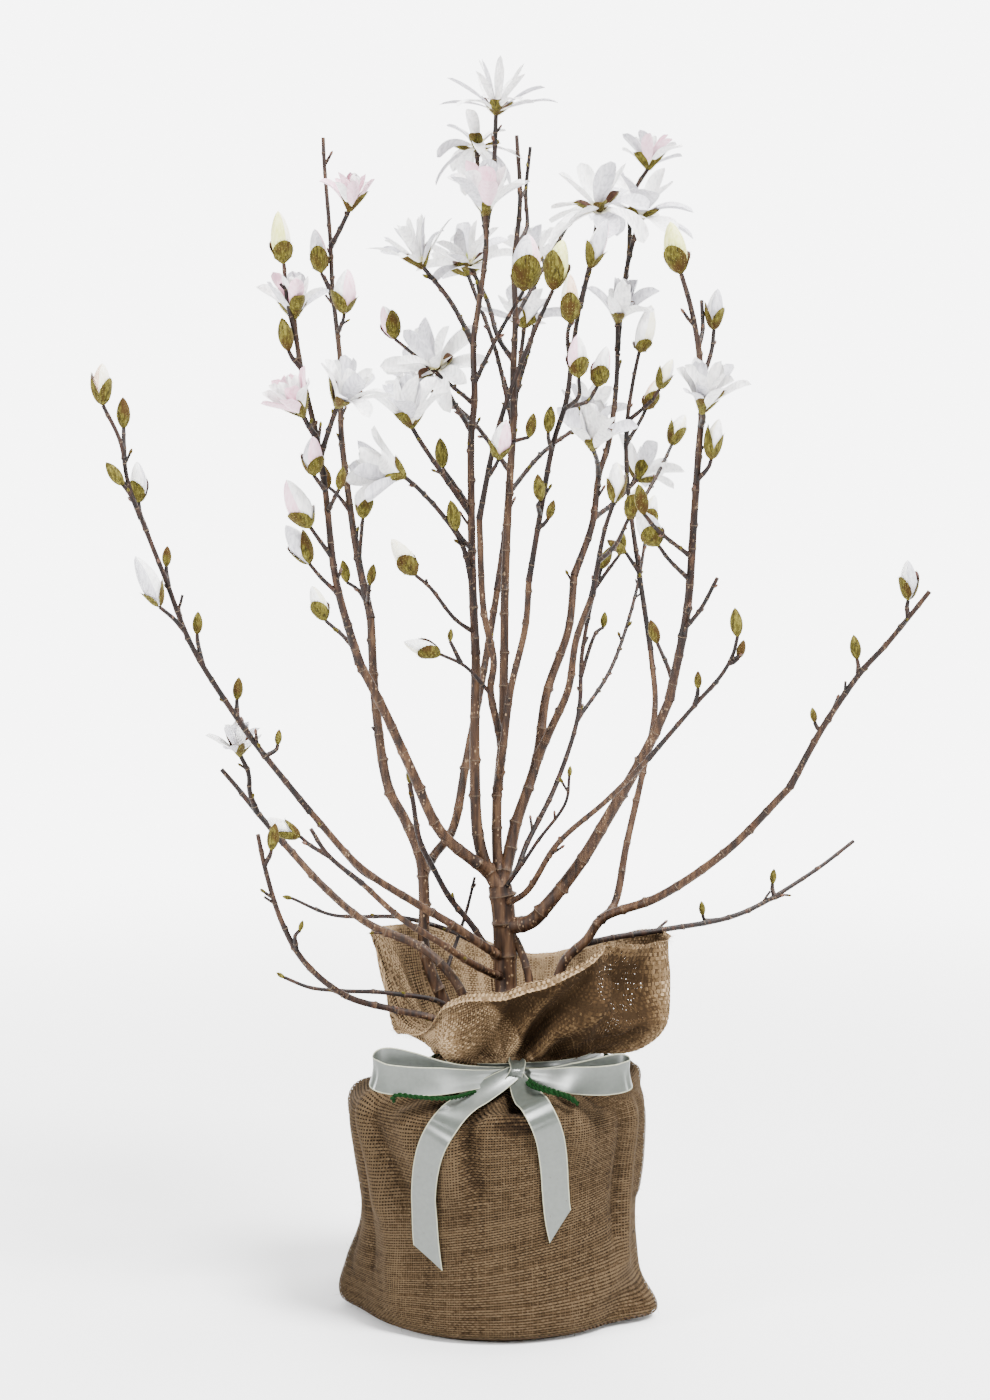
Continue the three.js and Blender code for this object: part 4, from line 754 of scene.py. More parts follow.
SPRAYS = [
    limb("left_leader_spray", on="left_leader", radii=[4, 3.2, 2.2],
      via=[(-34, 646, -15), (-35, 717, -18), (-35, 773, -20), (-32, 805, -20), (-33, 856, -20),
        (-29, 884, -18), (-22, 936, -15), (-22, 968, -14)],
      end=bloom([0, -0.3, 1], 50, 0.42, "cup", "blush"),
      twigs=[
        [598, [(-50, 612, -30), (-72, 640, -42), (-84, 650, -46)],
          swollen([-0.55, 0, 0.83], 38, "cream", 0.72)],
        [637, [(-43, 677, -28), (-60, 703, -42), (-82, 727, -54), (-95, 738, -58)],
          bloom([-1, -0.3, 0.3], 50, 0.45, "cup")],
        [672, [(-44, 684, -34), (-48, 690, -38)], bud([-0.2, -0.2, 1], 28)],
        [701, [(-54, 730, -36), (-81, 770, -52), (-88, 782, -56)],
          bloom([-0.1, -0.3, 1], 50, 0.42, "goblet")],
        [706, [(-48, 728, -4), (-60, 745, 4)], bud([-0.1, 0, 1], 28)],
        [776, [(-54, 809, 14), (-64, 832, 26)], bloom([-0.35, -0.85, 0.5], 52, 0.85, "star")],
        [800, [(-75, 836, 26), (-102, 858, 34)], swollen([-0.3, 0, 1], 32, "pink", 0.8, 0.5)],
        [818, [(-11, 862, -40), (11, 900, -52)], swollen([0.1, 0, 1], 50, "blush", 0.6, 0.5)],
        [854, [(-54, 892, 8), (-78, 922, 18)], bloom([-0.4, -0.2, 0.85], 50, 0.38, "strap")],
        [956, [(-16, 990, 10), (-13, 1056, 14)], bloom([0.05, -0.1, 1], 54, 0.6, "strap")],
        [950, [(-28, 990, 34), (-30, 1024, 44)], bloom([0, 0.1, 1], 48, 1.0, "droop")],
      ]),
    limb("centre_spray", on="centre_leader", radii=[3.2, 2.6, 1.8],
      via=[(2, 822, 30), (4, 875, 30), (3, 923, 32), (8, 980, 34), (5, 1036, 36)],
      twigs=[
        [838, [(-11, 859, 42), (-21, 892, 60), (-36, 922, 76)], bloom([-0.2, -0.5, 0.8], 50, 0.8, "star")],
        [876, [(30, 923, 58), (49, 956, 72)], bud([0.4, 0, 0.9], 20)],
        [938, [(14, 956, 48), (13, 985, 54), (17, 1026, 56)], CUT],
      ]),
    limb("red_spray", on="red_stem", radii=[2.8, 2.2, 1.8],
      via=[(-15, 765, -56), (-4, 803, -62), (3, 822, -66), (25, 875, -74), (37, 901, -78)],
      end=swollen([0.15, 0, 1], 44, "green", 0.74, 0.44),
      twigs=[
        [735, [(-14, 746, -64), (-11, 752, -68)], swollen([0.1, -0.2, 1], 34, "pink", 0.5, 0.5)],
        [762, [(8, 770, -66), (16, 772, -70)], bud([0.2, 0, 1], 22)],
      ]),
    limb("dark_spray", on="dark_stem", radii=[2.8, 2.4, 1.8],
      via=[(26, 704, -42), (37, 765, -52), (49, 805, -58), (55, 853, -62), (62, 892, -66), (70, 920, -68)],
      end=swollen([0.25, 0, 1], 44, "blush", 0.5, 0.34),
      twigs=[
        [690, [(30, 696, -50), (33, 700, -54)], bud([0.3, 0, 1], 18)],
        [704, [(24, 712, -60), (26, 716, -64)], bud([-0.1, 0, 1], 24)],
        [760, [(33, 772, -66), (33, 776, -70)], bud([0.1, 0, 1], 24)],
        [796, [(60, 808, -80), (60, 824, -84)], swollen([-0.1, 0, 1], 36, "blush", 0.6, 0.46)],
        [798, [(68, 804, -36), (76, 816, -30)], swollen([0.2, 0, 1], 36, "pink", 0.66, 0.42)],
        [832, [(50, 862, -84), (52, 872, -88)], swollen((0, 0, 1), 42, "beige", 0.6, 0.36)],
        [885, [(72, 935, -40), (77, 970, -30)], bloom([-0.1, -0.35, 0.9], 56, 0.85, "broad")],
      ]),
    limb("back_left_spray", on="back_left_stem", radii=[3.8, 3, 2.2, 1.8],
      via=[(-135, 664, 76), (-143, 717, 90), (-150, 778, 104), (-150, 831, 114), (-157, 901, 124),
        (-159, 945, 128), (-164, 1010, 132), (-165, 1034, 134)],
      twigs=[
        [622, [(-136, 638, 80), (-145, 644, 84)], bud([-0.2, 0, 1], 22)],
        [625, [(-126, 634, 48), (-125, 642, 44)], bud([0.2, 0, 1], 20)],
        [660, [(-132, 690, 66), (-131, 700, 64)], swollen([0.05, 0, 1], 34, "blush", 0.74, 0.42)],
        [704, [(-154, 722, 82), (-161, 728, 80)], bud([-0.3, 0, 1], 24)],
        [862, [(-148, 874, 104), (-147, 880, 100)], swollen((0, 0, 1), 42, "pink", 0.5, 0.5)],
        [888, [(-163, 908, 118), (-167, 916, 116)], swollen([-0.15, 0, 1], 42, "blush", 0.58, 0.38)],
        [938, [(-150, 955, 112), (-142, 972, 104)], bloom([0.1, -0.25, 1], 36, 0.36, "cup", "pink")],
      ]),
    limb("back_spray", on="back_stem", radii=[3.2, 2.6, 2],
      via=[(-5, 690, 118), (0, 760, 138), (6, 820, 154), (12, 870, 164)],
      end=bloom([0, 0.2, 1], 42, 0.7),
      twigs=[
        [742, [(-38, 790, 178), (-78, 818, 214)], bloom([-0.2, 0.4, 0.9], 44, 0.7)],
        [780, [(-14, 850, 184), (-38, 915, 206)], bloom([-0.1, 0.4, 0.9], 44, 0.6)],
        [812, [(22, 880, 190), (18, 925, 204)], bloom([0.1, 0.2, 1], 42, 0.6)],
        [720, [(30, 760, 176), (66, 785, 206)], bloom([0.3, 0.4, 0.9], 44, 0.5)],
      ]),
    limb("left_spray", on="left_bough", radii=[3.8, 3, 2.4, 2],
      via=[(-155, 646, -114), (-164, 725, -136), (-171, 770, -147), (-183, 822, -156), (-189, 857, -160),
        (-191, 878, -163)],
      end=bloom([0, -0.2, 1], 39, 0.44, "cup", "blush"),
      twigs=[
        [584, [(-148, 596, -86), (-164, 610, -80)], swollen([-0.4, 0, 0.9], 32, "cream", 0.6, 0.42)],
        [631, [(-168, 648, -118), (-178, 660, -122)], swollen([-0.45, 0, 0.9], 38, "white", 0.74, 0.46)],
        [664, [(-170, 682, -136), (-177, 692, -142)], swollen([-0.5, -0.1, 0.85], 44, "blush", 0.44, 0.46)],
        [704, [(-155, 720, -150), (-152, 726, -153)], bud([0.2, 0, 1], 20)],
        [724, [(-171, 734, -152), (-174, 738, -156)], swollen([-0.1, 0, 1], 32, "blush", 0.6, 0.5)],
        [754, [(-158, 786, -162), (-153, 800, -170)], bloom([0.55, -0.4, 0.75], 44, 0.45, "star")],
        [770, [(-180, 784, -164), (-184, 792, -172)], bloom([-0.4, -0.4, 0.8], 38, 0.4, "cup", "pink")],
        [832, [(-193, 842, -166), (-196, 848, -170)], bud([-0.2, 0, 1], 28)],
        [856, [(-197, 892, -172), (-200, 924, -176)], swollen([-0.15, 0, 1], 42, "green", 0.52, 0.38)],
      ]),
    limb("right_leader_spray", on="right_leader", radii=[3.5, 2.8, 2],
      via=[(72, 695, 64), (78, 739, 70), (86, 765, 76), (93, 818, 82), (94, 874, 86)],
      end=bloom([0.15, -0.4, 0.9], 45, 0.5, "goblet"),
      twigs=[
        [736, [(76, 752, 44), (72, 762, 20)], bloom([0.05, -0.45, 0.9], 49, 0.5, "goblet")],
        [848, [(98, 892, 100), (102, 920, 106), (113, 964, 110)], bloom([0.1, -0.3, 1], 58, 0.7, "broad")],
        [868, [(103, 925, 122), (108, 985, 134), (121, 1008, 138)],
          bloom([0.1, 0.1, 1], 40, 0.5, "star", "blush")],
        [700, [(92, 715, 100), (112, 735, 140)], bloom([0.4, 0.5, 0.8], 44, 0.6, "star")],
      ]),
    limb("right_fork_spray", on="right_fork", radii=[2.8, 2.2, 1.9],
      via=[(83, 690, -38), (91, 714, -42)],
      end=swollen([0.15, 0, 1], 36),
      twigs=[
        [660, [(92, 676, -60), (104, 700, -84)], swollen([0.3, -0.3, 0.9], 32)],
      ]),
    limb("right_spray", on="right_bough", radii=[4, 3.4, 2.8, 2],
      via=[(156, 619, -114), (162, 699, -132), (166, 761, -142), (169, 805, -147), (165, 853, -150),
        (158, 888, -150), (150, 915, -150)],
      end=swollen([-0.25, 0, 1], 44, "green", 0.54, 0.42),
      twigs=[
        [556, [(138, 572, -90), (130, 590, -84)], bud([-0.3, 0, 1], 22)],
        [600, [(168, 620, -130), (183, 648, -140)], CUT],
        [643, [(140, 664, -136), (131, 676, -144)], swollen([-0.5, 0, 0.85], 34, "white", 0.55, 0.56)],
        [664, [(130, 690, -156), (118, 704, -164)], bud([-0.2, 0, 1], 26)],
        [733, [(175, 746, -148), (177, 752, -151)], swollen([0.1, 0, 1], 34, "cream", 0.84, 0.4)],
        [780, [(170, 790, -166), (169, 795, -172)], bloom([0.1, -0.5, 0.8], 46, 0.34, "star")],
        [850, [(169, 866, -138), (168, 892, -132)], CUT],
        [820, [(177, 848, -138), (179, 866, -134)], swollen((0, 0, 1), 34, "white", 0.68, 0.4)],
      ]),
    limb("right_shoot_spray", on="right_shoot", radii=[2.6, 2.2, 1.8],
      via=[(114, 650, 68), (103, 734, 80), (102, 778, 84), (108, 822, 90), (113, 846, 92)],
      end=swollen([0.3, 0, 0.95], 46, "cream", 0.3, 0.38),
      twigs=[
        [652, [(106, 664, 62), (102, 670, 60)], bud([-0.6, 0, 0.4], 22)],
        [764, [(114, 786, 96), (119, 796, 98)], swollen([0.4, 0, 0.9], 32, "beige", 0.62, 0.4)],
        [784, [(124, 804, 72), (131, 814, 66)], swollen([0.3, -0.2, 0.9], 30, "cream", 0.7, 0.42)],
        [700, [(130, 740, 130), (142, 765, 152)], swollen([0.3, 0.4, 0.9], 36)],
      ]),
    limb("thin_right_spray", on="thin_right_shoot", radii=[2.2, 1.8, 1.5],
      via=[(165, 537, -184), (187, 562, -198), (197, 580, -206), (201, 596, -210)],
      end=bud([-0.1, 0, 1], 24),
      twigs=[
        [534, [(166, 546, -188), (166, 550, -188)], bud((0, 0, 1), 15)],
        [572, [(199, 574, -206), (202, 577, -206)], bud([0.3, 0, 1], 16)],
      ]),
    limb("inner_right_spray", on="trunk", at=372, radii=[2.8, 2.2, 1.8],
      via=[(5, 388, 24), (14, 411, 40), (40, 464, 66), (60, 527, 90), (63, 580, 104), (72, 628, 116),
        (80, 656, 124)],
      end=bud([0.4, 0, 0.9], 24),
      twigs=[
        [640, [(90, 660, 110), (96, 668, 106)], bud([0.2, 0, 1], 22)],
        [560, [(76, 600, 120), (82, 604, 124)], bud([0.1, 0, 1], 16)],
        [520, [(90, 570, 150), (112, 640, 196), (120, 690, 216)], swollen([0.2, 0.2, 1], 36)],
      ]),
    limb("short_right_spray", on="trunk", at=366, radii=[2, 1.6, 1.3],
      via=[(12, 396, -26), (24, 414, -36), (49, 449, -58), (52, 472, -64)],
      end=bud([0.1, 0, 1], 10)),
    limb("far_right_spray", on="far_right_bough", radii=[3.2, 2.6, 2],
      via=[(277, 515, -64), (311, 565, -78), (332, 588, -86), (355, 616, -94), (371, 636, -98)],
      twigs=[
        [512, [(271, 516, -60), (270, 520, -60)], bud([-0.2, 0, 1], 14)],
        [560, [(308, 572, -74), (307, 576, -74)], bud([-0.15, 0, 1], 22)],
        [612, [(351, 622, -90), (352, 628, -90)], swollen([0.05, 0, 1], 34, "blush", 0.74, 0.42)],
      ]),
    limb("low_right_spray", on="far_right_bough", at=321, radii=[2.8, 2.3, 1.7],
      via=[(92, 328, 14), (137, 335, 26), (204, 349, 62), (268, 386, 102), (305, 414, 126)],
      twigs=[
        [343, [(172, 344, 48), (171, 348, 48)], bud([-0.1, 0, 1], 14)],
        [364, [(233, 371, 84), (233, 376, 84)], bud([0.1, 0, 1], 15)],
      ]),
    limb("far_left_spray", on="far_left_bough", radii=[2.8, 2.4, 2, 1.6],
      via=[(-227, 501, -114), (-248, 531, -122), (-283, 588, -134), (-307, 650, -144), (-320, 683, -150),
        (-338, 730, -156), (-345, 768, -160), (-360, 800, -164)],
      end=swollen([-0.1, 0, 1], 34, "beige", 0.8, 0.44),
      twigs=[
        [488, [(-208, 496, -104), (-207, 500, -104)], bud([0.1, 0, 1], 14)],
        [522, [(-243, 536, -114), (-243, 540, -114)], bud([0.1, 0, 1], 20)],
        [570, [(-278, 594, -126), (-278, 598, -126)], bud([0.05, 0, 1], 20)],
        [600, [(-300, 613, -150), (-311, 622, -154)], swollen([-0.35, 0, 0.95], 46, "white", 0.45, 0.36)],
        [640, [(-305, 654, -138), (-305, 658, -138)], bud([0.05, 0, 1], 18)],
        [700, [(-337, 722, -160), (-343, 730, -164)], bud([-0.6, 0, 0.8], 24)],
        [690, [(-328, 706, -144), (-329, 714, -142)], swollen((0, 0, 1), 34, "white", 0.68, 0.4)],
        [752, [(-342, 772, -154), (-342, 780, -152)], bud((0, 0, 1), 26)],
      ]),
    limb("left_low_spray", on="left_low_bough", radii=[3, 2.4, 2],
      via=[(-229, 444, 10), (-244, 463, 12), (-257, 478, 14)],
      twigs=[
        [440, [(-232, 458, 0), (-233, 474, -4), (-241, 492, -8)],
          bloom([-0.05, -0.3, 1], 32, 0.5, "goblet")],
      ]),
    limb("left_middle_spray", on="left_middle_bough", radii=[2.4, 2, 1.7],
      via=[(-163, 402, -114), (-178, 425, -120)],
      twigs=[
        [400, [(-178, 410, -104), (-187, 418, -100)], swollen([-0.9, 0, 0.4], 32)],
      ]),
    limb("left_short_spray", on="far_left_bough", at=366, radii=[2, 1.6, 1.3],
      via=[(-115, 376, -46), (-133, 386, -36), (-150, 404, -32)],
      end=bud([-0.2, 0, 1], 10)),
    limb("left_level_spray", on="trunk", at=314, radii=[2.4, 2, 1.4],
      via=[(-32, 324, 16), (-59, 336, 34), (-99, 346, 54), (-159, 348, 84), (-195, 363, 98)],
      end=bud([-1, 0, 0.2], 10)),
    limb("low_left_spray", radii=[3.2, 3, 2.6, 1.9],
      via=[(-30, 166, -16), (-32, 225, -20), (-44, 243, -27), (-71, 256, -36), (-103, 263, -40),
        (-146, 275, -60), (-183, 305, -80), (-204, 342, -94), (-219, 391, -108), (-225, 420, -114)],
      twigs=[
        [392, [(-214, 402, -112), (-213, 406, -114)], bud([0.15, 0, 1], 24)],
        [316, [(-192, 330, -96), (-188, 334, -100)], bud([0.3, 0, 1], 10)],
      ]),
    limb("low_level_spray", radii=[2.4, 2.2, 2, 1.5],
      via=[(-32, 166, 1), (-34, 226, -1), (-56, 266, -10), (-108, 278, -24), (-150, 280, -30),
        (-179, 283, -36), (-202, 292, -42)],
      end=bud([-0.8, 0, 0.5], 9)),
    limb("inner_left_spray", on="trunk", at=300, radii=[3, 2.6, 2.2],
      via=[(-20, 318, 4), (-36, 341, 2), (-54, 363, -4), (-68, 388, -10), (-81, 415, -12),
        (-87, 450, -14), (-90, 466, -14)],
      end=bud([0.1, 0, 1], 18)),
    limb("cross_twig", on="left_low_bough", at=298, radii=[1.9, 1.6, 1.3],
      via=[(-46, 331, 16), (-38, 357, 26), (-32, 382, 30)]),
    limb("low_left_bud_spray", on="red_stem", at=545, radii=[1.8, 1.6, 1.4],
      via=[(-41, 570, -36), (-62, 580, -46)],
      end=swollen([-0.9, 0, 0.35], 34),
      twigs=[
        [572, [(-50, 584, -40), (-54, 592, -40)], bud([0.1, 0, 1], 12)],
      ]),
]


# The plant

# Seeds of the draws for the boughs' wood and buds, and for the sprays' spurs, wood and ends
BOUGH_WOOD_SEED, BOUGH_BUD_SEED = 401, 801
SPUR_SEED, SPRAY_WOOD_SEED, SPRAY_END_SEED = 11, 501, 901
TWIG_RADII = (2, 1.6)
FLOWER_TWIG_RADII = (2.4, 2)
SPUR_SPACING = 120
# A node whose lot is below the first bears a cut peg, below the second a peg with a bud, and below
# the third a bud alone
PEG_LOT, TWIG_LOT, BUD_LOT = 0.08, 0.2, 0.62


def curve_from(start, via):
    """A curve from a place in the frame through others given as the eye sees them"""
    return Path([start] + [seen(place) for place in via])


def limb_path(limbs, stem):
    """A limb's curve and how far along it the limb leaves the soil, or 0 where it has a parent"""
    if stem["on"]:
        parent, at = limbs[stem["on"]], stem["at"]
        foot = parent.at(parent.length if at is None else parent.along_to(at))
        return curve_from(foot, stem["via"]), 0.0
    path = Path([seen(place) for place in stem["via"]])
    above = np.nonzero(path.dots[:, 2] > SOIL_TOP + 0.5)[0]
    return path, path.run[above[0]]


def spurs_of(path, random):
    """The part's own short spurs at each golden turn, with the random numbers that they use up"""
    spurs = []
    along = SPUR_SPACING * (0.5 + 0.5 * random())
    while along < path.length - 20:
        turn = len(spurs) * GOLDEN + random()
        spurs.append((along, turn, 9 + 5 * random()))
        along += SPUR_SPACING
    return spurs


def small_bud(parts, foot, axis, size, rng):
    """A leaf bud, which half of the time is furred and otherwise bare"""
    skin = bulb(foot - axis, axis, egg_profile(size, size * 0.5, 6), 7)
    parts.scales.grid(skin, FUR if rng.random() < 0.5 else HUSK)


def side_growth(parts, path, nodes, draw, rng, size):
    """Finer twigs and small leaf buds at a shoot's nodes, each at the next golden turn"""
    for k, node in enumerate(nodes):
        lot = draw()
        turn = k * GOLDEN
        if lot < TWIG_LOT:
            peg = spur_path(path, node, turn, (5 + 9 * draw()) * size)
            wood(parts.twigs, peg, [1.5, 1.15, 1.2], draw, 7, 4.5, lot < PEG_LOT)
            if lot >= PEG_LOT:
                small_bud(parts, peg.at(peg.length), peg.heading(peg.length), 4 + 3 * draw(), rng)
        elif lot < BUD_LOT:
            heading = path.heading(node)
            out = spoke(*square_to(heading), turn)
            small_bud(parts, path.at(node) + out * 1.5, unit(heading + 0.5 * out), 3.5 + 3 * draw(), rng)


def grow_boughs(parts):
    """The trunk, stems and boughs; returns their curves, for what grows on them"""
    limbs = {}
    for k, bough in enumerate(BOUGHS):
        draw, rng = Seeded(k + BOUGH_WOOD_SEED), np.random.default_rng(k + BOUGH_BUD_SEED)
        path, start = limb_path(limbs, bough)
        limbs[bough["name"]] = path
        sides = 28 if bough["name"] == "trunk" else 14
        collar = 0.25 if start else 0.4
        nodes = wood(parts.boughs, path, bough["radii"], draw, sides, 30, False, start, collar)
        higher = [node for node in nodes if node > start + 60]
        side_growth(parts, path, higher, draw, rng, 0.8)
    return limbs


def grow_spray(parts, limbs, spray, index):
    """A spray's stem with its spurs and twigs, and what grows at each of their ends"""
    random, draw = Seeded(index + SPUR_SEED), Seeded(index + SPRAY_WOOD_SEED)
    rng = np.random.default_rng(index + SPRAY_END_SEED)
    stem, start = limb_path(limbs, spray)
    heap = parts.shoots if max(spray["radii"]) > 3 else parts.twigs
    nodes = wood(heap, stem, spray["radii"], draw, 10, 24, spray["end"] is CUT, start, 0.2)
    higher = [node for node in nodes if node > start + 50]
    side_growth(parts, stem, higher, draw, rng, 1.0)
    growth = [(stem, spray["end"])]
    for along, turn, length in spurs_of(stem, random):
        peg = spur_path(stem, along, turn, length)
        wood(parts.twigs, peg, [1.7, 1.3, 1.3], draw, 7, 4, False)
        small_bud(parts, peg.at(peg.length), peg.heading(peg.length), 6, rng)
    for up, via, end in spray["twigs"]:
        twig = curve_from(stem.at(stem.along_to(up)), via)
        radii = FLOWER_TWIG_RADII if end and end["kind"] == "bloom" else TWIG_RADII
        nodes = wood(parts.twigs, twig, radii, draw, 8, 13, end is CUT, collar=0.3)
        side_growth(parts, twig, nodes[1:], draw, rng, 0.5)
        growth.append((twig, end))
    for path, end in growth:
        if end:
            axis = unit(np.array(end["faces"], float))
            GROWTH[end["kind"]](parts, path.at(path.length), axis, end, rng)


# Each look's colours, from dark to light. The bark's last is its pores, the fur's last is worn skin.
BARKS = {
    "bark": [
        (0.010, 0.0038, 0.0014), (0.032, 0.0135, 0.0052), (0.078, 0.040, 0.018), (0.21, 0.138, 0.078)],
    "shoot": [
        (0.004, 0.0014, 0.0007), (0.016, 0.0057, 0.0026), (0.056, 0.027, 0.0125), (0.12, 0.078, 0.043)],
    "twig": [
        (0.002, 0.0007, 0.0005), (0.008, 0.0027, 0.0015), (0.030, 0.012, 0.006), (0.08, 0.05, 0.027)],
}
TEPALS = {
    "tepal_white": [(0.62, 0.61, 0.615), (0.92, 0.91, 0.895)],
    "tepal_blush": [(0.72, 0.40, 0.50), (0.86, 0.61, 0.69)],
    "tepal_cream": [(0.78, 0.74, 0.54), (0.88, 0.85, 0.72)],
    "tepal_green": [(0.58, 0.60, 0.14), (0.76, 0.76, 0.34)],
    "tepal_beige": [(0.62, 0.40, 0.27), (0.82, 0.62, 0.48)],
    # The grey petals' colours: painted shade
    "tepal_painted_shade": [(0.38, 0.37, 0.41), (0.64, 0.63, 0.66)],
}
FUR_COLOURS = [
    (0.012, 0.008, 0.0015), (0.060, 0.049, 0.0065), (0.178, 0.155, 0.030), (0.036, 0.0155, 0.003)]


def add_plant():
    parts = Parts()
    limbs = grow_boughs(parts)
    for index, spray in enumerate(SPRAYS):
        grow_spray(parts, limbs, spray, index)
    old, grown, young = [bark_look(name, *colours) for name, colours in BARKS.items()]
    scar = scar_look()
    scales = [
        fur_look("perule_fur", *FUR_COLOURS),
        plain_look("perule_husk", (0.03, 0.009, 0.003), (0.10, 0.035, 0.011), 0.45),
        plain_look("perule_hair", (0.17, 0.155, 0.03), (0.31, 0.29, 0.08), 0.7),
    ]
    hearts = [
        plain_look("stamen", (0.66, 0.60, 0.24), (0.80, 0.76, 0.45), 0.6),
        plain_look("style", (0.30, 0.36, 0.05), (0.52, 0.56, 0.14), 0.5),
    ]
    parts.boughs.make("bark_of_boughs", [old, scar], "bark", [bough["name"] for bough in BOUGHS])
    parts.shoots.make("bark_of_shoots", [grown, scar], "bark")
    parts.twigs.make("fine_twigs", [young, scar], "bark")
    tepals = [tepal_look(name, *colours) for name, colours in TEPALS.items()]
    parts.petals.make("petals", tepals, "flowering_twigs", [spray["name"] for spray in SPRAYS])
    parts.scales.make("bud_scales", scales, "budded_twigs")
    parts.hearts.make("flower_hearts", hearts, "flowering_twigs")


# The sack, woven thread by thread

# The sack's rings from the underside up through the neck: radius and height
SACK_ROWS = [
    (112, 0), (124, 7), (125, 40), (123, 80), (127, 140), (131.5, 178), (127, 191), (107, 203),
    (85, 211), (68, 216.5), (62.5, 222), (62.5, 229),
]
# How far the neck stands to the right of the pot, the height from which the cloth leans over to it,
# and the height of its foot
NECK_RIGHT = 20
SHOULDER = 186
NECK_LOW = 212
# The two sewn corners: bearing, how far each stands out, and its height above the floor
EARS = [(182, 20, 52), (341, 26, 30)]
# The cuff round the neck's centre: a bearing in degrees from the right side towards the back, and
# the cloth's distance and height there at five places from the neck up to the rim
CUFF = [
    (0, (84, 233), (108, 241), (127, 262), (132, 296), (132, 327)),
    (25, (80, 235), (98, 247), (112, 272), (120, 300), (124, 325)),
    (52, (76, 238), (86, 254), (93, 274), (98, 292), (101, 306)),
    (83, (70, 242), (75, 257), (80, 272), (84, 286), (86, 297)),
    (118, (72, 243), (79, 260), (86, 280), (92, 299), (97, 314)),
    (145, (76, 242), (87, 260), (97, 283), (103, 306), (106, 328)),
    (165, (80, 241), (96, 256), (108, 280), (117, 308), (122, 331)),
    (177, (84, 240), (104, 251), (115, 274), (125, 302), (131, 328)),
    (184, (84, 239), (102, 248), (113, 262), (119, 280), (121, 297)),
    (191, (80, 237), (96, 245), (107, 252), (112, 256), (114, 254)),
    (200, (78, 236), (92, 243), (103, 249), (108, 252), (110, 249)),
    (214, (77, 236), (91, 243), (101, 249), (105, 253), (107, 251)),
    (225, (82, 235), (99, 241), (109, 249), (110, 258), (110, 264)),
    (233, (84, 233), (106, 238), (115, 249), (108, 266), (108, 283)),
    (242, (78, 230), (99, 236), (104, 252), (97, 274), (107, 293)),
    (252, (67, 234), (77, 246), (84, 264), (93, 282), (108, 296)),
    (264, (65, 238), (69, 253), (76, 269), (90, 286), (110, 299)),
    (278, (65, 240), (70, 256), (80, 274), (95, 292), (111, 307)),
    (292, (68, 240), (78, 256), (91, 276), (104, 298), (114, 318)),
    (304, (73, 239), (90, 252), (105, 274), (113, 302), (117, 330)),
    (312, (76, 238), (94, 250), (105, 272), (102, 304), (106, 333)),
    (321, (80, 236), (102, 246), (115, 262), (96, 296), (117, 331)),
    (331, (83, 235), (108, 244), (126, 262), (110, 293), (124, 328)),
    (345, (84, 233), (110, 241), (129, 262), (132, 296), (130, 327)),
]
# Folds of the cloth: bearing and height along the cloth at both ends, half width, and how far the
# cloth stands out
FOLDS = [
    (206, 205, 219, 120, 13, 7), (219, 120, 226, 40, 15, 6), (213, 200, 231, 130, 9, -5),
    (232, 200, 240, 150, 10, 5), (199, 190, 208, 60, 8, -4), (333, 205, 333, 70, 9, 6),
    (325, 200, 326, 90, 8, -5), (344, 200, 350, 120, 10, 5), (300, 205, 306, 165, 12, 5),
    (256, 212, 262, 140, 8, -7), (248, 225, 252, 140, 11, 6), (266, 205, 285, 200, 7, 7),
    (268, 240, 272, 228, 12, -15), (286, 236, 292, 200, 9, 6), (205, 212, 214, 214, 14, 7),
    (196, 222, 205, 226, 12, -7), (240, 228, 248, 214, 9, -6), (310, 230, 318, 210, 9, -6),
    (20, 205, 12, 90, 13, 5), (48, 208, 55, 70, 12, 5), (70, 200, 66, 110, 10, -4),
    (95, 208, 90, 60, 14, 6), (121, 205, 128, 90, 12, 5), (150, 208, 143, 100, 12, 5),
    (172, 205, 168, 110, 10, 4), (182, 100, 188, 50, 12, -5), (335, 60, 300, 34, 12, 3),
    (345, 45, 320, 20, 8, -3), (346, 232, 14, 232, 13, 9), (166, 232, 196, 232, 13, 7),
]
# The same for the cuff's own folds, their heights counted in its places from the neck up
CUFF_FOLDS = [
    (278, 0.4, 314, 3.9, 8, 10), (268, 0.4, 300, 4.3, 8, -11), (258, 0.6, 287, 4.4, 8, 8),
    (248, 1.4, 272, 4.4, 8, -6), (230, 1.2, 262, 0.2, 9, 7), (234, 0.2, 262, -0.3, 8, -7),
    (318, 1.6, 326, 2.3, 9, -12), (338, 1.4, 342, 4.6, 10, 5), (324, 3.4, 330, 4.2, 13, -10),
    (200, 1.0, 222, 2.0, 9, 5), (150, 1.0, 158, 4.4, 12, 6), (130, 1.0, 134, 4.0, 11, -6),
    (108, 1.0, 104, 4.4, 12, 6), (66, 1.0, 60, 4.4, 12, 6), (40, 1.0, 42, 4.0, 11, -6),
    (12, 1.0, 10, 4.0, 12, 5), (172, 1.6, 173, 4.6, 9, -5),
]
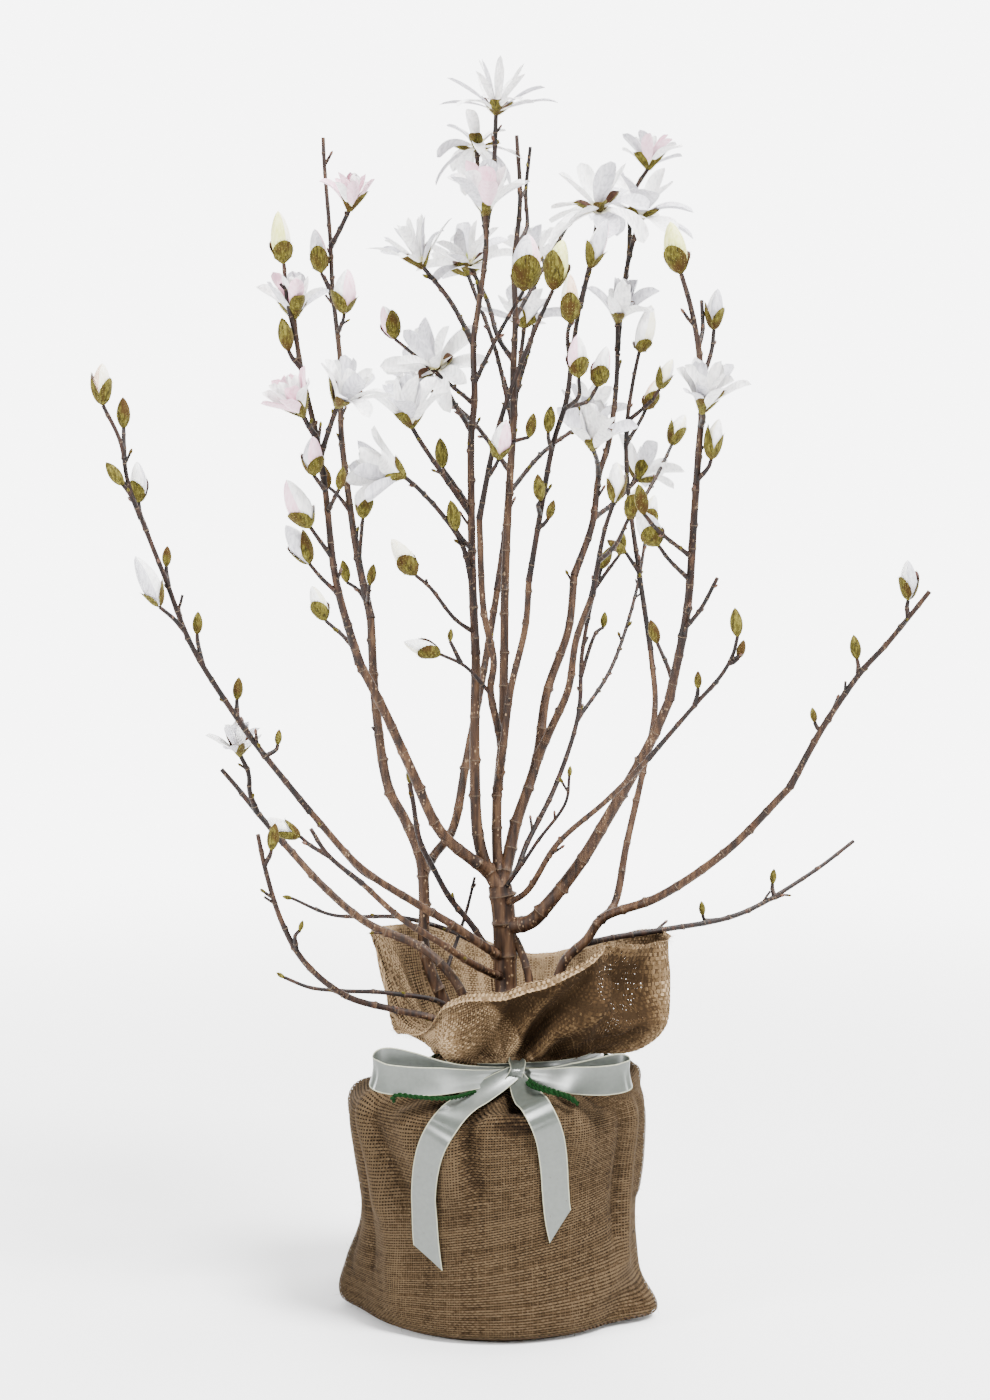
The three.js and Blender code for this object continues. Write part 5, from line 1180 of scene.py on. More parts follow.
# The threads' tones from pale to dark, each from a low to a high colour; the cuff's are paler
# The palest tone is painted light and the two darkest are painted shade; the others are the threads' own
# tones, moved paler or darker by painted light and shade
JUTE = [
    ("painted_lit", (0.110, 0.074, 0.040), (0.170, 0.120, 0.070)),
    ("pale", (0.054, 0.0345, 0.0175), (0.092, 0.062, 0.034)),
    ("plain", (0.038, 0.0235, 0.011), (0.068, 0.044, 0.023)),
    ("brown", (0.025, 0.0148, 0.0065), (0.046, 0.029, 0.014)),
    ("dark", (0.014, 0.0078, 0.0033), (0.028, 0.0165, 0.0078)),
    ("shaded", (0.0085, 0.0048, 0.0021), (0.017, 0.0098, 0.0046)),
    ("deep", (0.003, 0.0015, 0.0007), (0.009, 0.005, 0.0025)),
]
# The cuff's copy of the colours is paler, partly as painted light for its lit inner walls and partly to
# make up for the light that passes through its cloth
CUFF_PALER = 2.5
PALE, BROWN, SHADED, DEEP = 1, 3, 5, 6
# The weave: the step from thread to thread, the number of threads round the sack, how far each
# rises over the next, and how far the rows slant on the body
PITCH = 2.25
WARPS = 354
THREAD_RISE = 0.4
SKEW = 24
HEM_ROWS = 3
# The widths of warp and weft threads, as shares of the room that they have
BODY_THREADS = (0.40, 0.57)
CUFF_THREADS = (0.72, 0.78)
# The share of the light that passes through the cuff's threads
CUFF_THROUGH = 0.25
# The stretch of the rim whose fibres are longest, as shares of the way round
FRAYED = (0.84, 0.89)
# Loose fibres, each time how many, their seed and the longest: on the body, on the cuff, along its
# rim, and where the rim is frayed
BODY_FIBRES = (1800, 33, 5.0)
CUFF_FIBRES = (900, 34, 5.0)
RIM_FIBRES = (500, 35, 5.0)
FRAYED_FIBRES = (60, 36, 9.0)
# The seeds of the body's and the cuff's threads, of the gaps in the skin of painted shade, and of the
# pleats at the neck
BODY_SEED = 31
CUFF_SEED = 32
SHADE_SKIN_SEED = 37
PLEAT_SEED = 77
# The pleats at the neck: how many, how far each stands out, about half its width in degrees, and
# how far the cloth between them lies in
PLEATS = 21
PLEAT_RISE = 5.5
PLEAT_HALF = 5
PLEAT_SINK = 2.8
# The shade under the bow's knot: its bearing and height, about half its size each way, and how
# much it darkens the threads
KNOT_SHADE_AT = (278, 192)
KNOT_SHADE_SIZE = (9, 12)
KNOT_SHADE = 17
# How far the body's skin of painted shade lies behind its threads, and the share of the front's thin
# patches that it leaves open
SHADE_SKIN_DEPTH = 1.1
OPEN_SHARE = 0.62
# How much narrower the cuff's threads are in its thin patches, in shares of their room
THINNER = 0.07
# A degree of bearing along the cloth, on average
DEGREE = 2.15


def eased(s, span, start, end, leave, arrive):
    """A value at a share s of the way from start to end, with its slopes at both"""
    rise = leave * span * (s**3 - 2 * s**2 + s) + arrive * span * (s**3 - s**2)
    return start * (2 * s**3 - 3 * s**2 + 1) + end * (3 * s**2 - 2 * s**3) + rise


def turned(bearings, start):
    """The bearings counted from another, between -180 and 180 degrees"""
    return (bearings - start + 540) % 360 - 180


def smooth_round(bearings, places, values):
    """Values given at some bearings, carried smoothly round the whole circle"""
    places = np.array(places, float)
    values = np.array(values, float)
    at = np.concatenate([places[-2:] - 360, places, places[:3] + 360])
    of = np.concatenate([values[-2:], values, values[:3]])
    slopes = (of[2:] - of[:-2]) / (at[2:] - at[:-2])
    k = np.clip(np.searchsorted(at, bearings, side="right") - 1, 1, len(at) - 3)
    span = at[k + 1] - at[k]
    return eased((bearings - at[k]) / span, span, of[k], of[k + 1], slopes[k - 1], slopes[k])


def smooth_step(value, low, high):
    """0 up to low, 1 from high on, and smooth between"""
    share = np.clip((value - low) / (high - low), 0, 1)
    return share * share * (3 - 2 * share)


def ear_out(bearings, height):
    """How far the sewn corners stand out"""
    out = 0
    for at, reach, tall in EARS:
        fading = max(0, 1 - abs(height - tall * 0.35) / tall)
        out = out + reach * np.exp(-((turned(bearings, at) / 13) ** 2)) * fading
    return out


def around(bearings, radius, height, centre):
    """Places round an upright line that stands so far to the right"""
    angles = np.radians(bearings)
    height = np.broadcast_to(height, angles.shape)
    return np.stack([centre + radius * np.cos(angles), radius * np.sin(angles), height], -1)


def sack_rings(bearings):
    """The cloth's rings, from the underside's edge up to the rim and over it"""
    rings = []
    for radius, height in SACK_ROWS:
        lean = NECK_RIGHT * smooth_step(height, SHOULDER, NECK_LOW)
        out = radius + (ear_out(bearings, height) if height > 1 else 0)
        rings.append(around(bearings, out, height, lean))
    places = [row[0] for row in CUFF]
    for level in range(1, 6):
        radius = smooth_round(bearings, places, [row[level][0] for row in CUFF])
        height = smooth_round(bearings, places, [row[level][1] for row in CUFF])
        rings.append(around(bearings, radius, height, NECK_RIGHT))
    front = np.exp(-(((bearings - 262) / 48) ** 4))
    rings.append(around(bearings, radius + 2 + 4 * front, height + 3 - 8 * front, NECK_RIGHT))
    return np.array(rings)


def raised(bearings, up, folds):
    """How far folds move the cloth, at bearings (columns) and heights along it (rows)"""
    total = np.zeros(up.shape)
    for b0, u0, b1, u1, width, out in folds:
        x, y = turned(bearings, b0) * DEGREE, up - u0
        dx, dy = turned(b1, b0) * DEGREE, u1 - u0
        share = np.clip((x * dx + y * dy) / (dx * dx + dy * dy), 0, 1)
        far = np.hypot(x - share * dx, y - share * dy)
        height = 0.55 + 0.45 * np.sin(math.pi * (0.15 + 0.7 * share))
        total += out * np.exp(-((far / width) ** 2)) * height
    return total


def gathered(bearings, up, neck):
    """The small pleats that the tie draws the cloth into, fading above and below the neck"""
    draw = Seeded(PLEAT_SEED)
    pleats = np.cumsum([10 + 14 * draw() for _ in range(PLEATS)])
    strong = smooth_step(up, neck - 88, neck - 22) * (1 - 0.72 * smooth_step(up, neck + 8, neck + 110))
    total = np.zeros(up.shape)
    for pleat in pleats / pleats[-1] * 360:
        lean = 16 * np.clip((up - neck) / 110, 0, 1) * math.sin(math.radians(pleat - 190))
        total += PLEAT_RISE * np.exp(-((turned(bearings, pleat + lean) / PLEAT_HALF) ** 2))
    return strong * (total - PLEAT_SINK)


def sack_cloth():
    """The cloth's surface at every crossing of its threads, its outward directions, how far its
    folds stand out, and the number of threads below the neck"""
    bearings = np.arange(WARPS) / WARPS * 360
    rings = sack_rings(bearings)
    run = np.concatenate([[0], np.cumsum(np.linalg.norm(np.diff(rings, axis=0), axis=2).mean(1))])
    slopes = np.empty_like(rings)
    slopes[1:-1] = (rings[2:] - rings[:-2]) / (run[2:] - run[:-2])[:, None, None]
    slopes[0], slopes[-1] = slopes[1], slopes[-2]
    level = np.arange(0, run[-1], PITCH)[:, None] + 0 * bearings
    rise = smooth_step(level, 0, 100) * (1 - smooth_step(level, 110, 215))
    up = level + SKEW * rise * np.sin(np.radians(bearings - 270))
    k = np.clip(np.searchsorted(run, up, side="right") - 1, 0, len(run) - 2)
    column = np.arange(WARPS)[None, :]
    span = (run[k + 1] - run[k])[..., None]
    ends = (rings[k, column], rings[k + 1, column], slopes[k, column], slopes[k + 1, column])
    points = eased((up - run[k])[..., None] / span, span, *ends)
    neck = run[len(SACK_ROWS) - 1]
    levels = np.arange(-1, 6)
    places = np.concatenate([[neck - 25], run[len(SACK_ROWS) - 1 : len(SACK_ROWS) + 5]])
    folds = [
        (b0, np.interp(u0, levels, places), b1, np.interp(u1, levels, places), width, out)
        for b0, u0, b1, u1, width, out in CUFF_FOLDS
    ]
    round_way = np.radians(bearings) + 0 * up
    crumple = np.sin(3 * round_way + up * 0.045) * np.sin(up * 0.021 + 2 * round_way + 1)
    crumple = 0.9 * crumple + 0.5 * np.sin(11 * round_way - up * 0.06)
    out = raised(bearings, up, FOLDS + folds) + gathered(bearings, up, neck) + crumple
    points = points + normals_of(points) * (out * smooth_step(up, 4, 30))[..., None]
    points[..., 2] = np.maximum(points[..., 2], 0.5)
    return points, normals_of(points), out, int(neck / PITCH)


def normals_of(points):
    """The cloth's outward directions"""
    round_way = np.roll(points, -1, 1) - np.roll(points, 1, 1)
    up_way = np.gradient(points, axis=0)
    return unit(np.cross(round_way, up_way))


def weave(heap, points, normals, wear_and_painted_light, seed, warp, weft, hem=0, lightest=PALE):
    """Threads both ways over and under each other, one ribbon each, in tones dealt out along them:
    painted light makes them paler, as on the folds' ridges, and painted shade darker, as down in folds.
    warp and weft are the threads' widths for the room that they have; the hem's rows lie close and are
    painted pale, as light falls on the hem's top."""
    rng = np.random.default_rng(seed)
    rows, columns = points.shape[:2]
    checks = (np.arange(rows)[:, None] + np.arange(columns)[None, :]) % 2
    over = (checks * 2 - 1)[..., None] * THREAD_RISE
    across_ways = (np.roll(points, -1, 1) - np.roll(points, 1, 1)) / 2, np.gradient(points, axis=0)
    hemmed = np.broadcast_to((np.arange(rows) >= rows - hem)[:, None], (rows, columns))
    # Painted light and shade for each place, with a little tone at random
    shade = np.clip(np.round(-wear_and_painted_light / 5 + rng.normal(0, 0.3, wear_and_painted_light.shape)), -2, 3).astype(int)
    # The warps first, which run up the cloth, and then the wefts, which run round it
    for across, is_warp in zip(across_ways, (True, False)):
        threads = columns if is_warp else rows
        fat = rng.normal(0.5, 0.05, threads)
        half = (fat[None, :] if is_warp else fat[:, None]) * rng.normal(1, 0.13, (rows, columns))
        half = np.where(hemmed, half * 0.84, half * (warp if is_warp else weft))[..., None]
        centre = points + normals * over * (1 if is_warp else -1)
        pair = np.stack([centre - across * half, centre + across * half], 2)
        # The hem's rows are painted paler: painted light on the hem's top, which faces up
        places = shade - hemmed * rng.choice([0, 1, 1, 1], (rows, columns))
        if is_warp:
            pair, places = pair.transpose(1, 0, 2, 3), places.T
        steps = pair.shape[1]
        start = np.arange(threads)[:, None] * steps * 2
        step = np.arange(steps - 1 if is_warp else steps)[None, :]
        ahead = (step + 1) % steps
        corners = [start + step * 2, start + step * 2 + 1, start + ahead * 2 + 1, start + ahead * 2]
        faces = np.stack(corners[::-1] if is_warp else corners, -1).reshape(-1, 4)
        # A thread's own tone, and now and then a darker stretch of three places
        base_tones = [2, 2, 2, 3] if is_warp else [1, 1, 1, 2]
        block = rng.choice([0, 0, 0, 0, 0, 0, 1], (threads, step.shape[1] // 3 + 1))
        base = rng.choice(base_tones, (threads, 1))
        tones = np.repeat(block + base, 3, 1)[:, : step.shape[1]] + places[:, : step.shape[1]]
        heap.add(pair, faces, np.clip(tones, lightest, SHADED).ravel())


def loose_fibres(heap, points, normals, count, seed, longest):
    """Short bent fibres that stand off the cloth"""
    rng = np.random.default_rng(seed)
    row, column = rng.integers(0, len(points), count), rng.integers(0, points.shape[1], count)
    root, out = points[row, column], normals[row, column]
    heading = unit(out * 0.5 + rng.normal(0, 0.6, (count, 3)))
    bend = unit(heading + rng.normal(0, 0.5, (count, 3)))
    side = unit(np.cross(heading, bend + 0.01)) * 0.09
    reach = rng.uniform(longest * 0.3, longest, (count, 1))
    middle = root + heading * reach
    tip = middle + bend * reach * 0.8
    strip = np.stack([root - side, root + side, middle + side, middle - side, tip], 1)
    strip[..., 2] = np.maximum(strip[..., 2], 0.1)
    # The triangle at a fibre's tip shares the points of its strip
    first = np.arange(count)[:, None] * 5
    heap.add(strip, first + np.array([[0, 1, 2, 3]]), PALE)
    heap.faces.extend((first + np.array([[3, 2, 4]]) + heap.count - len(strip) * 5).tolist())
    heap.tones.append(np.full(count, PALE))


def paler(colour):
    """One of the body's colours made paler for the cuff, partly as painted light"""
    return tuple(CUFF_PALER * np.array(colour))


def add_sack():
    """The threads of body and cuff, the skin of painted shade, and the underside; returns the cloth for
    what is tied round it
    """
    points, normals, out, neck = sack_cloth()
    looks = [thread_look("jute_" + name, low, high) for name, low, high in JUTE]
    cuff_looks = [
        thread_look("cuff_" + name, paler(low), paler(high), CUFF_THROUGH) for name, low, high in JUTE
    ]
    body, cuff, shade_skin_and_underside = Heap(), Heap(), Heap()
    low, high = slice(0, neck + 1), slice(neck, None)
    bearing = np.arange(WARPS)[None, :] / WARPS * 360
    (at, height), (wide, tall) = KNOT_SHADE_AT, KNOT_SHADE_SIZE
    hollow = np.exp(-(((bearing - at) / wide) ** 2 + ((points[low][..., 2] - height) / tall) ** 2) ** 2)
    # Painted light and shade on the body's threads: paler on fold ridges, darker in folds and under the
    # knot
    wear_and_painted_light = out[low] - KNOT_SHADE * hollow
    weave(body, points[low], normals[low], wear_and_painted_light, BODY_SEED, *BODY_THREADS)
    rise = np.linspace(0, 1, len(points) - neck)[:, None]
    gap = THINNER * thin_patch(bearing, rise)
    # Painted light and shade on the cuff's threads: from its folds, its lit walls and corner, its shaded
    # slope and thin patches
    wear_and_painted_light = out[high] + cuff_painted_light_and_shade(bearing, rise)
    warp, weft = (width - gap for width in CUFF_THREADS)
    weave(cuff, points[high], normals[high], wear_and_painted_light, CUFF_SEED, warp, weft, HEM_ROWS, 0)
    loose_fibres(body, points[low], normals[low], *BODY_FIBRES)
    loose_fibres(cuff, points[high], normals[high], *CUFF_FIBRES)
    loose_fibres(cuff, points[-2:], normals[-2:], *RIM_FIBRES)
    frayed = slice(*(int(WARPS * share) for share in FRAYED))
    loose_fibres(cuff, points[-2:, frayed], normals[-2:, frayed], *FRAYED_FIBRES)
    # The skin of painted shade between the threads, and the underside
    add_shade_skin(shade_skin_and_underside, points, normals, neck)
    add_underside(shade_skin_and_underside, points[0])
    body.make("sack_body_threads", looks, "burlap", ["burlap_sack"])
    cuff.make("sack_cuff_threads", cuff_looks, "burlap")
    shade_skin_and_underside.make("sack_shade_skin_and_underside", [looks[DEEP], cuff_looks[SHADED], looks[BROWN]], "burlap")
    return points, normals


# The cuff's thin patches, in front at the right and on the wall behind: bearing and height from 0
# at the neck to 1 at the rim, and about half their size each way
THIN_PATCHES = [(319, 0.68, 15, 0.22), (29, 0.55, 14, 0.21), (318, 0.38, 8, 0.13), (20, 0.24, 9, 0.11)]


def thin_patch(bearing, rise):
    """How thin the cuff's cloth is, up to 1 in the middle of a worn patch"""
    far = [((bearing - at) / wide) ** 2 + ((rise - up) / tall) ** 2 for at, up, wide, tall in THIN_PATCHES]
    return np.exp(-(np.min(far, axis=0) ** 2) * 0.7)


def cuff_painted_light_and_shade(bearing, rise):
    """How much paler the cuff's threads are painted than the folds alone make them, as painted light
    and shade: much paler on its left and back walls, where light falls, a little on the turned-down corner
    in front, which faces up to the light, and darker, as painted shade, on the front's shaded slope and in
    the thin patches"""
    walls = smooth_step(bearing, 20, 50) * (1 - smooth_step(bearing, 225, 245))
    slope_foot = np.interp(bearing, (246, 252, 258, 266, 274, 282), (0.9, 0.85, 0.6, 0.4, 0.15, 0.0))
    slope = smooth_step(bearing, 246, 256) * (1 - smooth_step(bearing, 318, 345))
    slope = slope * smooth_step(rise - slope_foot, 0, 0.1) * (1 - smooth_step(rise, 0.86, 0.94))
    corner = smooth_step(bearing, 205, 220) * (1 - smooth_step(bearing, 268, 278))
    corner = corner * (1 - smooth_step(rise - slope_foot, -0.1, 0))
    # Painted light on the walls and the corner, painted shade on the slope and in the thin patches
    return 14 * np.maximum(walls, 0.2 * corner) - 17 * slope - 9 * thin_patch(bearing, rise)


def add_shade_skin(heap, points, normals, neck):
    """Painted shade between the threads: a dark skin behind the body's threads and amid the cuff's, that
    stands in for the shade in the gaps. It is left out in the middle of the cuff's thin patches, at the
    back wholly and in front in most places, where daylight shows through the gaps."""
    depth = SHADE_SKIN_DEPTH * (1 - smooth_step(np.arange(len(points)), neck - 4, neck + 4))
    skin = (points - normals * depth[:, None, None])[len(points) % 2 == 0 :: 2, ::2]
    rows, columns = skin.shape[:2]
    faces = grid_faces(rows, columns, closed=True).reshape(rows - 1, columns, 4)
    row, column = np.meshgrid(np.arange(rows - 1) * 2, np.arange(columns) / columns * 360, indexing="ij")
    most = np.random.default_rng(SHADE_SKIN_SEED).random(row.shape) < OPEN_SHARE
    thin = thin_patch(column, (row - neck) / (len(points) - neck)) > 0.5
    daylight = thin & (most | (column < 180))
    tones = np.where(row < neck, 0, 1)
    heap.add(skin, faces[~daylight], tones[~daylight])


def add_underside(heap, edge):
    """The cloth under the pot: rings from the edge in to the middle"""
    shares = np.linspace(1, 0.02, 12)[:, None, None]
    centre = np.array([0, 0, 0.5])
    rings = centre + (edge[None, ::3] - centre) * shares
    heap.grid(rings, 2)


def thread_look(name, low, high, through=0.0):
    """Coarse dull fibre; through is the share of the light that passes to the other side"""
    look = Look(name, 0.95, Specular_IOR_Level=0.1)
    fibres = look.noise((700, 700, 700), 4, 0.7)
    skin = look.ramp(fibres, [(0.28, low), (0.7, high)])
    look.colour(skin).bump(fibres, 0.4, 0.7)
    if through:
        look.blend(through, look.node("BsdfTranslucent", Color=skin).outputs["BSDF"])
    return look.material


# The ribbon and the twine

RIBBON_WIDTH = 25
RIBBON_THICK = 0.45
RIBBON_CLEAR = 1.4
# The places across the ribbon, as shares of its half width, that its points lie at
RIBBON_ACROSS = np.array([-1, -0.93, -0.6, -0.2, 0.2, 0.6, 0.93, 1])
# Those faces round the ribbon that belong to its woven edges, or selvedges
SELVEDGES = (0, 6, 7, 8, 14, 15)
# The length of ribbon that one unit of the map of its threads' run holds
RUN_LENGTH = 200
# The step from place to place along the ribbon, and the stretch over which a slanted end forms
RIBBON_STEP = 2
SLANT_LENGTH = 40
# The small gathers where the ribbon is pinched: how far they rise, and their waves across
GATHER_RISE = 2.4
GATHER_WAVES = 7
KNOT = np.array([15.0, -71.0, 223.5])
BAND_WIDTH = 9
BAND_HEIGHT = NECK_LOW + 13
# A bow's loop: its widths from the knot out and back to it, and the way that its face looks there.
# The right loop is the left one's mirror image in these, and each has a route of its own.
LOOP_WIDTHS = [9, 17, 25, 25, 25, 25, 25, 25, 23, 15, 9]
LOOP_FACES = np.array([
    (0, 1, 0.3), (0.1, 1, 0.15), (0.1, 1, 0.15), (0.1, 1, 0.15), (-0.4, 1, 0.1), (-1, 0, 0.1),
    (-0.3, -1, 0.05), (0.1, -1, 0.05), (0, -1, 0.2), (0, -1, 0.3), (0, -1, 0.4),
])
LEFT_LOOP = [
    KNOT + (-2, -1, -2), (-12, -80, 220), (-45, -92, 223), (-76, -102, 234), (-96, -109, 238),
    (-105, -117, 234), (-99, -125, 229), (-80, -123, 225), (-48, -111, 222), (-12, -91, 220),
    KNOT + (-3, -7, -2),
]
RIGHT_LOOP = [
    KNOT + (2, -1, -2), (40, -82, 219), (66, -92, 222), (92, -99, 229), (106, -105, 232),
    (112, -112, 230), (106, -118, 227), (90, -117, 224), (64, -107, 222), (40, -92, 221),
    KNOT + (3, -7, -2),
]
# Each tail leaves the knot by two places and then follows the cloth by others, seen from the front
LEFT_START = [KNOT + (-1, -14, 0), KNOT + (-14, -27, -6)]
LEFT_TAIL = [(-14, 207), (-20, 204), (-35, 196), (-51, 178), (-58, 153), (-61, 125), (-61, 95), (-57, 68)]
RIGHT_START = [KNOT + (1, -14, -2), KNOT + (4, -24, -10)]
RIGHT_TAIL = [(22, 203), (28, 198), (38, 190), (45, 171), (48, 136), (50, 112), (53, 95)]
# A tail's widths at its first places, the way its face looks there, the step from place to place
# along the guide that it follows, and how far its end is cut askew
TAIL_WIDTHS = [13, 18, 22]
TAIL_FACE = np.array([0, -0.9, 0.4])
TAIL_STEP = 6
TAIL_SLANT = 11
# The turn of ribbon over the knot
WRAP = KNOT + [(1, 3, 8), (2, -8, 7), (1, -16, 2), (-2, -15, -5), (-3, 0, -8)]
WRAP_WIDTHS = [12, 15, 12, 16, 12]
WRAP_FACES = [(0.1, 0.2, 1), (0, -0.6, 1), (0.2, -1, 0), (0, -0.6, -1), (0, 0.2, -1)]


def strap(heap, route, widths, faces_out, dish, slant=0.0):
    """A flat ribbon along a route. Each place of it has a width and the way that the ribbon's face
    looks; dish bends its section and slant cuts its end off askew."""
    path = Path(route)
    along = np.linspace(0, path.length, int(path.length / RIBBON_STEP))
    stops = path.run[:: len(path.dots) // (len(route) - 1)]
    outs = np.array(faces_out, float)
    outs = np.stack([np.interp(along, stops, outs[:, k]) for k in range(3)], -1)
    heading = path.heading(along)
    out = unit(outs - heading * (outs * heading).sum(1, keepdims=True))
    side = np.cross(heading, out)
    half = np.interp(along, stops, widths) / 2
    across = RIBBON_ACROSS[None, :, None]
    end = smooth_step(along, path.length - SLANT_LENGTH, path.length)[:, None, None]
    centre = path.at(along)[:, None] + heading[:, None] * slant * end * across
    flat = centre + side[:, None] * across * half[:, None, None]
    pinch = 1 - half / (RIBBON_WIDTH / 2)
    gathers = GATHER_RISE * pinch[:, None] * np.cos(RIBBON_ACROSS * GATHER_WAVES)
    wave = (dish * (RIBBON_ACROSS**2 - 0.4) + gathers)[..., None]
    front = flat + out[:, None] * (wave + RIBBON_THICK / 2)
    back = flat + out[:, None] * (wave - RIBBON_THICK / 2)
    loop = np.concatenate([front, back[:, ::-1]], 1)
    columns = np.tile(np.arange(loop.shape[1]), len(along) - 1)
    edge = np.isin(columns, SELVEDGES)
    breadth = np.concatenate([RIBBON_ACROSS, RIBBON_ACROSS[::-1]]) * RIBBON_WIDTH / 2
    run = np.stack(np.meshgrid(along, breadth, indexing="ij"), -1).reshape(-1, 2) / RUN_LENGTH
    heap.grid(loop, edge.astype(int), run=run)


def clear_of_cloth(points, spot, out):
    """How far a place must move along a direction so that half a ribbon's width clears the cloth"""
    near = np.linalg.norm(points - spot, axis=2) < RIBBON_WIDTH * 0.56
    return ((points[near] - spot) @ out).max(initial=-RIBBON_CLEAR) + RIBBON_CLEAR


def tail_route(points, normals, start, places):
    """A ribbon's tail from the knot over the shoulder and down the sack, taut over its hollows"""
    shoulder = (points[..., 1] < -40) & (points[..., 2] < NECK_LOW + 5)
    guide = Path([(x, 0, z) for x, z in places])
    spots, outs = list(start), [TAIL_FACE] * len(start)
    for x, _, z in guide.at(np.arange(0, guide.length, TAIL_STEP)):
        far = np.hypot(points[..., 0] - x, points[..., 2] - z) + np.where(shoulder, 0, 1e6)
        spot = points[np.unravel_index(np.argmin(far), far.shape)]
        near = (np.linalg.norm(points - spot, axis=2) < RIBBON_WIDTH * 0.7) & shoulder
        outs.append(unit(normals[near].mean(0)))
        spots.append(spot)
    spots, outs = np.array(spots), np.array(outs)
    for _ in range(6):
        outs[1:-1] = unit(outs[:-2] + 2 * outs[1:-1] + outs[2:])
        spots[1:-1] = (spots[:-2] + 2 * spots[1:-1] + spots[2:]) / 4
        for k in range(2, len(spots)):
            spots[k] += outs[k] * max(clear_of_cloth(points, spots[k], outs[k]), 0)
    return spots, outs


def neck_line(points, height, off):
    """A closed line round the drawn-in neck, drawn tight over its pleats"""
    neck = points[abs(points[..., 2] - height) < 4] - np.array([NECK_RIGHT, 0, 0])
    at = np.degrees(np.arctan2(neck[:, 1], neck[:, 0])) % 360
    lengths = np.hypot(neck[:, 0], neck[:, 1])
    bearings = np.arange(0, 361, 10)
    near = abs(turned(at[None, :], bearings[:, None])) < 8
    tight = np.array([np.quantile(lengths[row], 0.85) for row in near[:-1]])
    for _ in range(3):
        tight = (np.roll(tight, 1) + 2 * tight + np.roll(tight, -1)) / 4
    return around(bearings, np.append(tight, tight[0]) + off, height, NECK_RIGHT)


def add_ribbon(points, normals):
    """The band round the neck, the bow's two loops, its two tails, and the turn over the knot"""
    heap = Heap()
    hoop = neck_line(points, BAND_HEIGHT, off=1.2)
    outward = hoop - np.array([NECK_RIGHT, 0, BAND_HEIGHT])
    strap(heap, hoop, [BAND_WIDTH] * len(hoop), outward, dish=0.4)
    for loop, side in ((LEFT_LOOP, 1), (RIGHT_LOOP, -1)):
        strap(heap, loop, LOOP_WIDTHS, LOOP_FACES * (side, 1, 1), dish=1.0)
    for start, tail, side in ((LEFT_START, LEFT_TAIL, -1), (RIGHT_START, RIGHT_TAIL, 1)):
        route, outs = tail_route(points, normals, start, tail)
        widths = TAIL_WIDTHS + [RIBBON_WIDTH] * (len(route) - len(TAIL_WIDTHS))
        strap(heap, route, widths, outs, dish=0.4, slant=side * TAIL_SLANT)
    strap(heap, WRAP, WRAP_WIDTHS, WRAP_FACES, dish=1.6)
    looks = [satin_look(), plain_look("ribbon_edge", (0.22, 0.22, 0.15), (0.30, 0.30, 0.22), 0.5)]
    heap.make("satin_ribbon", looks, "satin", ["ribbon_bow"])


def satin_look():
    """Satin, whose threads run along the ribbon and draw its gleam out into bands across it"""
    look = Look("satin", 0.32, Metallic=0.26, Anisotropic=0.85, Anisotropic_Rotation=0.25, IOR=1.9)
    grain = look.noise((240, 240, 240), 2)
    look.colour(look.ramp(grain, [(0.2, (0.058, 0.066, 0.056)), (0.8, (0.079, 0.089, 0.077))]))
    along = look.nodes.new("ShaderNodeTangent")
    along.direction_type = "UV_MAP"
    along.uv_map = "run"
    look.link(along.outputs["Tangent"], look.surface.inputs["Tangent"])
    return look.bump(grain, 0.05, 0.2).material


TWINE_RADIUS = 1.9
TWINE_HEIGHT = NECK_LOW + 6
TWIST_LENGTH = 9
YARN_STEP = 1.2
# How far a strand's middle lies from the twine's and how thick it is, as shares of the twine
STRAND_OFF = 0.52
STRAND_RADIUS = 0.58
# Fuzz fibres to a millimetre of twine
FUZZ = 4
TWINE_SEED = 41
# The twine's loose ends over the cuff: one on the left and two on the right
TWINE_ENDS = [
    [(2, -70, 214), (-14, -92, 211), (-34, -117, 210), (-50, -127, 211), (-70, -129, 213), (-84, -128, 214),
     (-88, -126, 211), (-86, -124, 208)],
    [(22, -72, 217), (30, -104, 216), (44, -116, 214), (58, -117, 210), (68, -116, 204)],
    [(24, -70, 218), (33, -106, 218), (48, -117, 215), (60, -119, 211), (66, -121, 207)],
]


def yarn(heap, route, seed):
    """Two strands of wool twisted round each other, with their fuzz"""
    path = Path(route)
    rng = np.random.default_rng(seed)
    along = np.linspace(0, path.length, max(int(path.length / YARN_STEP), 4))
    u, v = path.frames(along)
    for half_turn in (0, math.pi):
        shift = spokes(u, v, along / TWIST_LENGTH * 2 * math.pi + half_turn)
        strand = Path(path.at(along) + shift * TWINE_RADIUS * STRAND_OFF)
        steps = np.linspace(0, strand.length, len(along))
        radii = TWINE_RADIUS * STRAND_RADIUS * (1 + 0.08 * rng.normal(0, 1, len(along)))
        heap.grid(tube_points(strand, steps, radii, 7), 0)
    count = int(path.length * FUZZ)
    at = rng.uniform(0, path.length, count)
    off = unit(rng.normal(0, 1, (count, 3)))
    roots = path.at(at) + off * TWINE_RADIUS * 0.8
    side = unit(np.cross(off, path.heading(at))) * 0.08
    tips = roots + unit(off + rng.normal(0, 0.6, (count, 3))) * rng.uniform(0.6, 2.0, (count, 1))
    heap.strands(roots, side, tips, 1)


